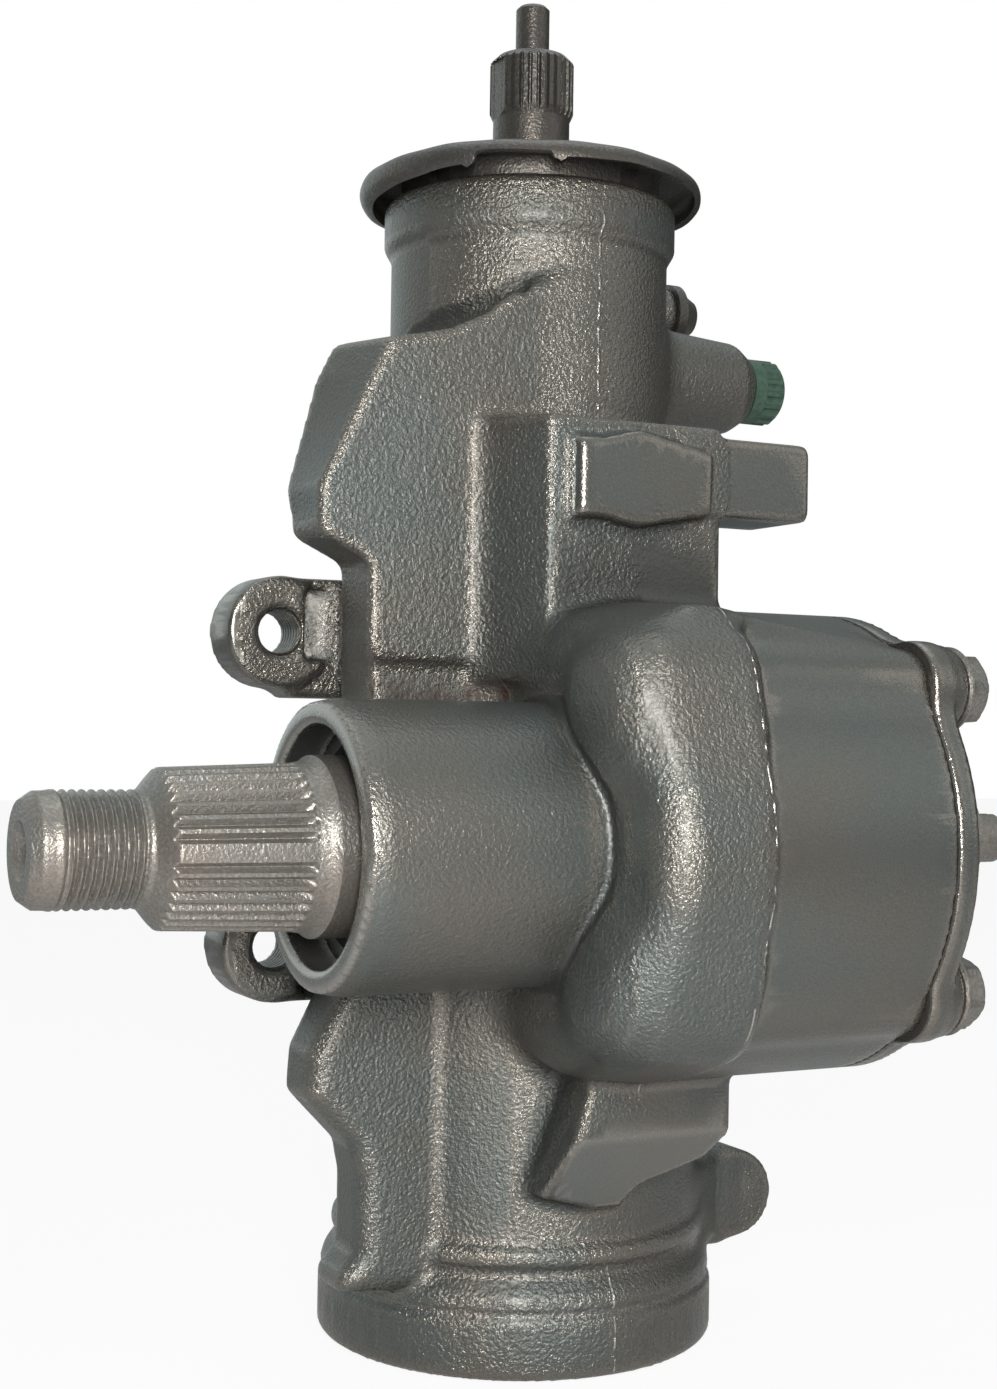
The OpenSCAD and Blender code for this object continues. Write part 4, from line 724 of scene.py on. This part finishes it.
# Where the casting is pebbled, worn, rusty and seamed, and where painted highlight, painted shade and
# painted reflection go, from its vertices' places
def markCasting(mesh, block):
    points = vertexArray(mesh).astype(np.float64)
    x, y, z = points.T
    radial, axial = np.hypot(y - gearY, z - gearZ), np.hypot(x, y)
    chamber = np.clip((x - 0.5) / 3.0, 0, 1) * np.clip((-8 - y) / 8.0, 0, 1) * (radial < 62)
    boss = np.clip((31 - radial) / 2.0, 0, 1) * (x < -20)
    bossEnd, earZone = x < -70.2, y > -8
    facet, nearFacet = np.abs(overFacet(y, z)), (z < 52) & (z > 34) & (y < -40)
    machined = bossEnd | (z < 0.6) | (z > 253.3) | (radial < 26) & (x < -40)
    machined |= nearFacet & (facet < 0.5) & (np.abs(x - 4) < 22)
    front = ((y < -48.6) | (x > 23.5) & (y < -46)) & (z > 176)
    grain = 1.0 - np.maximum(np.maximum(0.7 * chamber, 0.5 * boss), 0.75 * front)
    grain = np.where(machined, 0.05, np.where((x < -53) & earZone, 0.55, grain))
    setAttribute(mesh, "grain", grain)
    # Painted shade below the pad and in the valley beside the lower pad, darkened like a hollow
    belowPad = hump(z, 164.5, 14.0) ** 0.3 * np.clip((-46.4 - y) / 0.8, 0, 1) * (y > -49) * (x < 23)
    valley = hump(x, -12.0, 9.0) ** 0.5 * hump(z, 52.0, 30.0) ** 0.5 * (y > -46) * (y < -34)
    # Painted shade too in the scoop, the crease round the boss, the ears' faces and, less, the neck
    scoop = np.clip(1.6 - np.min([roundBar(*bar)(x, y, z) for bar in scoopBars], axis=0), 0, 1)
    crease = hump(radial, 30.0, 4.0) * hump(x, -22.0, 6.0) * (y < -40)
    neck = hump(z, 224.0, 21.0) ** 0.3 * (y < -10) * (axial < 33.5)
    paintedShade = 1.2 * belowPad + 0.9 * valley + 1.2 * scoop + 1.1 * crease
    paintedShade = paintedShade + 0.75 * (x < -48.5) * earZone + 0.75 * neck
    # Painted highlight: the knuckle of the chamber is lightened and made glossier
    knuckleHighlight = 0.55 * np.exp(-((z - gearZ - 2) / 13.0) ** 2) * hump(x, -17.0, 7.0) * (y < -86)
    # Edge attribute: the surface's bend, plus the painted highlight, less the painted shade
    setAttribute(mesh, "edge", block.bend(points, 2.0) + knuckleHighlight - paintedShade)
    bore = np.hypot(x - earX, np.minimum(np.abs(z - earHigh), np.abs(z - earLow)))
    setAttribute(mesh, "thread", (bore < 5.2) & earZone)
    # Rust on the ledge above the boss; below zero, lighter paint on the boss's end, a painted reflection,
    # and, less, on the facet
    ledge = hump(z, gearZ + 30.2, 3.2) * np.clip((-22 - y) / 4, 0, 1) * (y > -36)
    rust = np.clip(1.5 * ledge * (x < -12) * (x > -56) * (radial > 28.8), 0, 1)
    rust = np.where(bossEnd & (radial < 28.2), -1.0, rust)
    rust = np.where(nearFacet & (facet < 0.6) & (np.abs(x - 6) < 20), -0.5, rust)
    setAttribute(mesh, "rust", rust)
    # The parting line runs down neck, chamber and collar, not over the block and the bores
    onNeck, onChamber = (np.abs(axial - 31.8) < 3.0) & (z > 201), (radial > 44) & (x > -8) & (y < -52)
    plain = onNeck | onChamber | (z < 22) & (z > 1)
    setAttribute(mesh, "seam", np.where(machined | (axial < 30), 0, plain * hump(x, 1.5, 7.0) ** 0.2))


castBlock, castPoints, castQuads = castHousing(castForm)
castMesh = thinned("castHousing", castPoints, castQuads, castForm["mostFaces"])
markCasting(castMesh, castBlock)
showPiece("castHousing", castMesh, "housing", "painted_casting", "gear_housing")
print("housing done:", len(castMesh.polygons), "faces")


coverForm = {
    "low": (22.0, -102.0, 58.0), "high": (82.0, 2.0, 166.0), "step": 1.0, "mostFaces": 70000,
    "slab": (45.5, 50.9), "slabEdge": 1.0,
    "boltPad": [(0, 46), (9.3, 46), (9.1, 53.7), (8.0, 55.2), (0, 55.2)],
    "dome": [(0, 46), (36.5, 46), (34.5, 49.4), (31, 52.0), (26, 54.2), (20, 55.1), (0, 55.1)],
    "hub": [(0, 50), (16.5, 50), (15.4, 62), (12.6, 77.4), (11.4, 78.5), (0, 78.5)],
    "pilot": (34.4, 38.5, 46), "journal": (24.46, 24.5, 46),
    "bores": [(20.0, 22, 45.5), (5.6, 44, 80)], "boltHole": (5.0, 44, 56),
}


# Side cover: outline slab, bolt pads, domed middle and the adjuster's hub
def castCover(form):
    block = CastBlock(form["low"], form["high"], form["step"])
    centre = (gearY, gearZ)
    around = lambda start, end, r: ((start, gearY - r, gearZ - r), (end, gearY + r, gearZ + r))

    def slab(x, y, z):
        face = np.maximum(form["slab"][0] - x, x - form["slab"][1]) + form["slabEdge"]
        return roundedEdge(coverWall(y, z) + form["slabEdge"], face, form["slabEdge"])

    block.add(slab, *around(45, 52, 51))
    for y, z in boltCorners:
        block.add(turned(form["boltPad"], "x", (y, z)), (46, y - 10, z - 10), (56, y + 10, z + 10), 2.0)
    block.add(turned(form["dome"], "x", centre), *around(46, 56, 38), 3.0)
    block.add(turned(form["hub"], "x", centre), *around(50, 79, 18), 6.0)
    block.add(rod(*form["pilot"], "x", centre), *around(38, 46, 36))
    block.add(rod(*form["journal"], "x", centre), *around(24, 46, 26))
    for radius, start, end in form["bores"]:
        block.cut(rod(radius, start, end, "x", centre), *around(start, end, radius))
    for y, z in boltCorners:
        block.cut(rod(*form["boltHole"], "x", (y, z)), (44, y - 6, z - 6), (56, y + 6, z + 6))
    return block, *block.surface()


coverBlock, coverPoints, coverQuads = castCover(coverForm)
coverMesh = thinned("coverCasting", coverPoints, coverQuads, coverForm["mostFaces"])
markCasting(coverMesh, coverBlock)
showPiece("coverCasting", coverMesh, "housing", "painted_casting", "side_cover")
print("cover done:", len(coverMesh.polygons), "faces")


# Spans are (start, end, rows) along x; profile and tail are (radius, x); grooveFloor is (-x, radius)
shaftForm = {
    "cutAt": -55.0, "splines": 36, "blankEvery": 9, "grooveDepth": 1.15, "grooveHalf": 0.36,
    "splineStart": -75.6, "splineEnd": -104.0, "runOut": 3.4, "grooveFloor": ([75, 101.4], [15.86, 15.04]),
    "pitch": 1.81, "threadDepth": 0.95, "threadStart": -105.4, "threadEnd": -121.2,
    "phases": [-0.46, -0.36, -0.24, -0.12, -0.03, 0.03, 0.12, 0.24, 0.36, 0.46],
    "spans": [(-54.5, -74.0, 16), (-74.2, -80.0, 20), (-80.6, -100.6, 18), (-100.8, -105.4, 18),
              (-105.55, -121.5, 106), (-121.6, -126.6, 12)],
    "profile": [(17.40, -54.5), (17.40, -54.99), (17.46, -55.0), (17.46, -71.7), (16.50, -71.9),
                (16.42, -73.0), (15.98, -75.2), (15.04, -101.0), (14.95, -101.4), (13.9, -102.4),
                (11.75, -104.2), (11.2, -104.7), (10.95, -105.4), (10.95, -121.4), (10.75, -122.4),
                (10.7, -124.4), (9.15, -126.6)],
    "tail": [(5.5, -126.6), (3.1, -123.6), (3.1, -118.6)],
}


# Output end: radius as a function of turn and length, the turned profile less V grooves and a helical thread
def outputEnd(form):
    index = np.repeat(np.arange(form["splines"]), len(form["phases"]))
    share = np.tile(form["phases"], form["splines"])
    # Turned so that one blank land faces the photographer (-y)
    turn = (index + share) * 2 * math.pi / form["splines"] - math.pi / 2
    along = np.concatenate([np.linspace(a, b, n) for a, b, n in form["spans"]])
    profile, tail = np.array(form["profile"]), np.array(form["tail"])
    radius = np.interp(-along, -profile[:, 1], profile[:, 0])
    groove = np.clip(1.0 - np.abs(share) / form["grooveHalf"], 0, 1) ** 0.8
    groove = np.where(index % form["blankEvery"] == 0, 0.0, groove)[None]
    splined = along > form["splineEnd"]
    fade = np.clip((form["splineStart"] - along) / form["runOut"], 0, 1)
    depth = form["grooveDepth"] * np.sqrt(1 - (1 - fade) ** 2) * splined
    grooveFloor = np.interp(-along, *form["grooveFloor"])
    grooved = np.where(groove > 0, grooveFloor[:, None] - depth[:, None] * groove, np.inf)
    full = np.where((splined & (fade > 0))[:, None], np.minimum(radius[:, None], grooved), radius[:, None])
    wave = (along[:, None] / form["pitch"] + turn[None] / (2 * math.pi)) % 1.0
    cutIn = np.clip(1.25 * np.abs(2 * wave - 1) - 0.12, 0, 1) * form["threadDepth"]
    ends = np.clip((form["threadStart"] - along) / 1.2, 0, 1)
    ends = ends * np.clip((along - form["threadEnd"]) / 1.6, 0, 1)
    full = full - cutIn * ends[:, None]
    # Face, countersink and centre hole close the end
    full = np.concatenate([full, np.repeat(tail[:, :1], len(turn), 1)])
    along = np.concatenate([along, tail[:, 1]])
    points, quads, fans = spunSurface(along, full, turn, (gearY, gearZ))
    # Lengths run towards -x, so the faces are turned round
    return points, quads[:, ::-1], fans[:, ::-1]


# Inner end of the shaft with its gear teeth: a merged copy of the solid, cut off inside the seal and closed
def innerEnd(node, cutAt):
    work = bmesh.new()
    work.from_mesh(frame["nodes"][node].data)
    bmesh.ops.remove_doubles(work, verts=work.verts, dist=1e-6)
    everything = work.verts[:] + work.edges[:] + work.faces[:]
    cut = bmesh.ops.bisect_plane(work, geom=everything, plane_co=(cutAt * metres, 0, 0),
                                 plane_no=(-1, 0, 0), clear_outer=True)
    rim = [e for e in cut["geom_cut"] if isinstance(e, bmesh.types.BMEdge)]
    bmesh.ops.holes_fill(work, edges=rim)
    bmesh.ops.triangulate(work, faces=work.faces[:])
    work.verts.index_update()
    points = np.array([v.co[:] for v in work.verts]) / metres
    triangles = np.array([[v.index for v in f.verts] for f in work.faces])
    work.free()
    return points, np.zeros((0, 4), int), triangles


shaftMesh = joinedMesh("sectorShaft", [outputEnd(shaftForm), innerEnd("sector_shaft", shaftForm["cutAt"])])
showPiece("sectorShaft", shaftMesh, "sector", "painted_steel", "sector_shaft", 38)
print("shaft done:", len(shaftMesh.polygons), "faces")


boltForm = {
    "flat": 6.67, "corner": 7.7, "flange": 8.8, "shank": 4.65, "pad": 55.2, "top": 61.6, "tip": 35.6,
    "columns": 72,
}


# Cover bolt: radius as a function of turn and height, a hexagon with a chamfered top on a coned flange
def coverBolt(form, centre, spin):
    turn = np.linspace(0, 2 * math.pi, form["columns"], endpoint=False)
    hexagon = np.minimum(form["flat"] / np.cos((turn % (math.pi / 3)) - math.pi / 6), form["corner"])
    shank, flange, pad, top, tip = (form[key] for key in ("shank", "flange", "pad", "top", "tip"))
    rows = [
        (shank - 0.7, tip), (shank, tip + 0.7), (shank, pad), (flange - 0.5, pad), (flange, pad + 0.4),
        (flange, pad + 0.9), (flange - 0.4, pad + 1.3), (np.maximum(hexagon, 7.2) + 0.2, pad + 2.0),
        (hexagon, pad + 2.5), (hexagon, top - 1.1), (np.minimum(hexagon, 7.25), top - 0.55),
        (np.minimum(hexagon, 6.6), top - 0.1), (6.1, top), (5.0, top - 0.45), (1.0, top - 0.5),
    ]
    radius = np.stack([np.broadcast_to(row[0], turn.shape) for row in rows])
    return spunSurface(np.array([row[1] for row in rows]), radius, turn + spin, centre)


boltMesh = joinedMesh("coverBolts", [coverBolt(boltForm, corner, 0.3 + 0.7 * i)
                                     for i, corner in enumerate(boltCorners)])
showPiece("coverBolts", boltMesh, "housing", "painted_steel", "side_cover_bolts", 32)
print("bolts done")


shieldForm = {
    "hub": 10.4, "rimCentre": (35.4, 256.378), "roll": 3.1, "sheet": 1.3, "columns": 360, "curlEnd": -50.0,
    "notchAt": -123.0, "notchHalf": 13.0, "notchEnd": 12.0, "frontAt": -117.0, "swing": (35.0, 32.0),
    "tab": 14.0, "leadRows": 8, "arcRows": 18,
}


# Dust shield: a sheet's mid line of (radius, height) with a rolled rim, carried round z; the roll stops
# early in the notch
def dustShield(form):
    turn = np.linspace(-math.pi, math.pi, form["columns"], endpoint=False)
    off = np.abs((np.degrees(turn) - form["notchAt"] + 180) % 360 - 180)
    inNotch = np.clip((form["notchHalf"] - off) / 1.2, 0, 1)
    # The roll ends early in front and closes most at the left; a tab is left at each end of the notch
    ahead = turn - math.radians(form["frontAt"])
    curl = form["curlEnd"] + form["swing"][0] * np.cos(ahead) + form["swing"][1] * np.sin(ahead)
    curl = curl - form["tab"] * hump(off, form["notchHalf"] + 2.2, 1.8)
    lastAngle = np.radians(curl + (form["notchEnd"] - curl) * inNotch)
    ripple = 0.12 * np.sin(7 * turn) + 0.08 * np.sin(17 * turn + 1.0)
    radius, height = form["rimCentre"]
    lead = np.linspace(form["hub"], radius, form["leadRows"])[:-1]
    arc = math.pi / 2 + (lastAngle[:, None] - math.pi / 2) * np.linspace(0, 1, form["arcRows"])[None]
    top = height + form["roll"]
    midR = np.concatenate([np.repeat(lead[None], len(turn), 0), radius + form["roll"] * np.cos(arc)], 1)
    midZ = np.concatenate([np.full((len(turn), len(lead)), top), height + form["roll"] * np.sin(arc)], 1)
    acrossR = np.concatenate([np.zeros((len(turn), len(lead))), np.cos(arc)], 1) * form["sheet"] / 2
    acrossZ = np.concatenate([np.ones((len(turn), len(lead))), np.sin(arc)], 1) * form["sheet"] / 2
    loopR = np.concatenate([midR + acrossR, (midR - acrossR)[:, ::-1]], 1)
    loopZ = np.concatenate([midZ + acrossZ, (midZ - acrossZ)[:, ::-1]], 1)
    dip = np.clip((loopR - 30) / 8, 0, 1) * (ripple[:, None] - 0.2)
    points = np.stack([loopR * np.cos(turn)[:, None], loopR * np.sin(turn)[:, None], loopZ + dip], -1)
    rows, columns = loopR.shape
    # One row more than there is comes back to the first row
    return points.reshape(-1, 3), ringQuads(rows + 1, columns) % (rows * columns)


shieldPoints, shieldQuads = dustShield(shieldForm)
shieldMesh = meshFromArrays("dustShield", shieldPoints, [shieldQuads])
showPiece("dustShield", shieldMesh, "housing", "painted_steel", "dust_shield", 50, "shaded_paint")
print("shield done")


# The other solids keep their shapes and take their slots' finishes, or the paint that covers them
standIns = {"gear_housing", "side_cover", "sector_shaft", "side_cover_bolts", "dust_shield"}
shaded = {"stub_shaft", "adjuster_plug", "adjuster_locknut", "return_port_plug", "side_cover_gasket"}
for row in frame["record"]["subparts"]:
    if row["node"] not in standIns:
        mesh = frame["nodes"][row["node"]].data
        mesh.materials.clear()
        finish = "shaded_paint" if row["node"] in shaded else row["material_slot"]
        mesh.materials.append(finishes[finish])
print("solids dressed")


studio = {
    "ambient": (0.90, 0.97, 1.0), "ambientLevel": 0.18, "mirrorTint": (0.91, 1.0, 1.0),
    "mirrorSide": 0.07, "mirrorFront": 0.30, "mirrorBack": 1.0, "mirrorTop": 0.7,
    "frontWay": (0.45, -0.89, 0.0), "backWay": (-0.35, 0.94, 0.0),
    "lamps": [
        ("flash", (-0.22, -0.48, 0.23), (0.08, 0.18), 3.2, (1.0, 0.97, 0.93)),
        ("rightSoft", (0.75, -0.75, 0.55), (0.7, 0.7), 1.4, (1.0, 0.98, 0.95)),
        ("topSoft", (0.05, 0.1, 1.0), (0.7, 0.7), 1.8, (0.95, 0.98, 1.0)),
    ],
    "aim": (0.0, -0.03, 0.14), "floorSize": 3.0, "floorZ": -0.0004, "floorGlow": 0.92,
}


# Lamps aimed at the part's middle, a white surround for what the camera and reflections see, and a pale floor
def setStudio(plan):
    for name, place, size, power, tint in plan["lamps"]:
        lamp = bpy.data.lights.new(name, "AREA")
        lamp.shape = "RECTANGLE"
        (lamp.size, lamp.size_y), lamp.energy, lamp.color = size, power, tint
        toward = np.array(plan["aim"]) - np.array(place)
        axis = -toward / np.linalg.norm(toward)
        side = np.cross((0.0, 0.0, 1.0), axis)
        side = side / np.linalg.norm(side)
        placed(name, lamp, side, np.cross(axis, side), axis, place)
    world = bpy.data.worlds.new("paleStudio")
    bpy.context.scene.world = world
    world.use_nodes = True
    tree = world.node_tree
    ray = tree.nodes.new("ShaderNodeLightPath")
    camera, glossy, through = (Wire(tree, ray.outputs["Is " + kind + " Ray"])
                               for kind in ("Camera", "Glossy", "Transmission"))
    aim = Wire(tree, tree.nodes.new("ShaderNodeTexCoord").outputs["Generated"])
    front, back = (aim.node("ShaderNodeVectorMath", {"operation": "DOT_PRODUCT"}, {0: aim, 1: plan[way]}, 1)
                   for way in ("frontWay", "backWay"))
    mirror = plan["mirrorSide"] + back.ease(0.35, 0.95) * (plan["mirrorBack"] - plan["mirrorSide"])
    mirror = mirror + front.ease(0.35, 0.95) * (plan["mirrorFront"] - plan["mirrorSide"])
    top = aim.node("ShaderNodeSeparateXYZ", None, {0: aim}, 2)
    mirror = mirror.maths("MAXIMUM", mirror, top.ease(0.25, 0.85) * plan["mirrorTop"])
    clear = camera.maths("MAXIMUM", camera, through)
    glow = tree.nodes["Background"]
    tint = clear.blend(glossy.blend(plan["ambient"], plan["mirrorTint"]), (1.0, 1.0, 1.0))
    tree.links.new(tint.socket, glow.inputs["Color"])
    level = plan["ambientLevel"] + glossy * (mirror - plan["ambientLevel"])
    tree.links.new((level + clear * (1.0 - level)).socket, glow.inputs["Strength"])
    half = plan["floorSize"]
    floor = bpy.data.meshes.new("paleFloor")
    corners = [(-half, -half), (half, -half), (half, half), (-half, half)]
    floor.from_pydata([(*corner, plan["floorZ"]) for corner in corners], [], [(0, 1, 2, 3)])
    paper, _, _ = newFinish("palePaper", Base_Color=(0.9, 0.9, 0.9, 1.0), Roughness=0.9)
    tree = paper.node_tree
    ray = Wire(tree, tree.nodes.new("ShaderNodeLightPath").outputs["Is Camera Ray"])
    shine = ray.node("ShaderNodeEmission", None, {"Color": (1.0, 1.0, 1.0, 1.0), "Strength": 1.0})
    mixed = ray.node("ShaderNodeMixShader", None, {0: ray * plan["floorGlow"], 2: shine})
    tree.links.new(tree.nodes["Principled BSDF"].outputs[0], mixed.socket.node.inputs[1])
    tree.links.new(mixed.socket, tree.nodes["Material Output"].inputs["Surface"])
    floor.materials.append(paper)
    sheet = bpy.data.objects.new("paleFloor", floor)
    bpy.context.scene.collection.objects.link(sheet)


setStudio(studio)
bpy.context.scene.view_settings.view_transform = "Standard"
print("studio set")
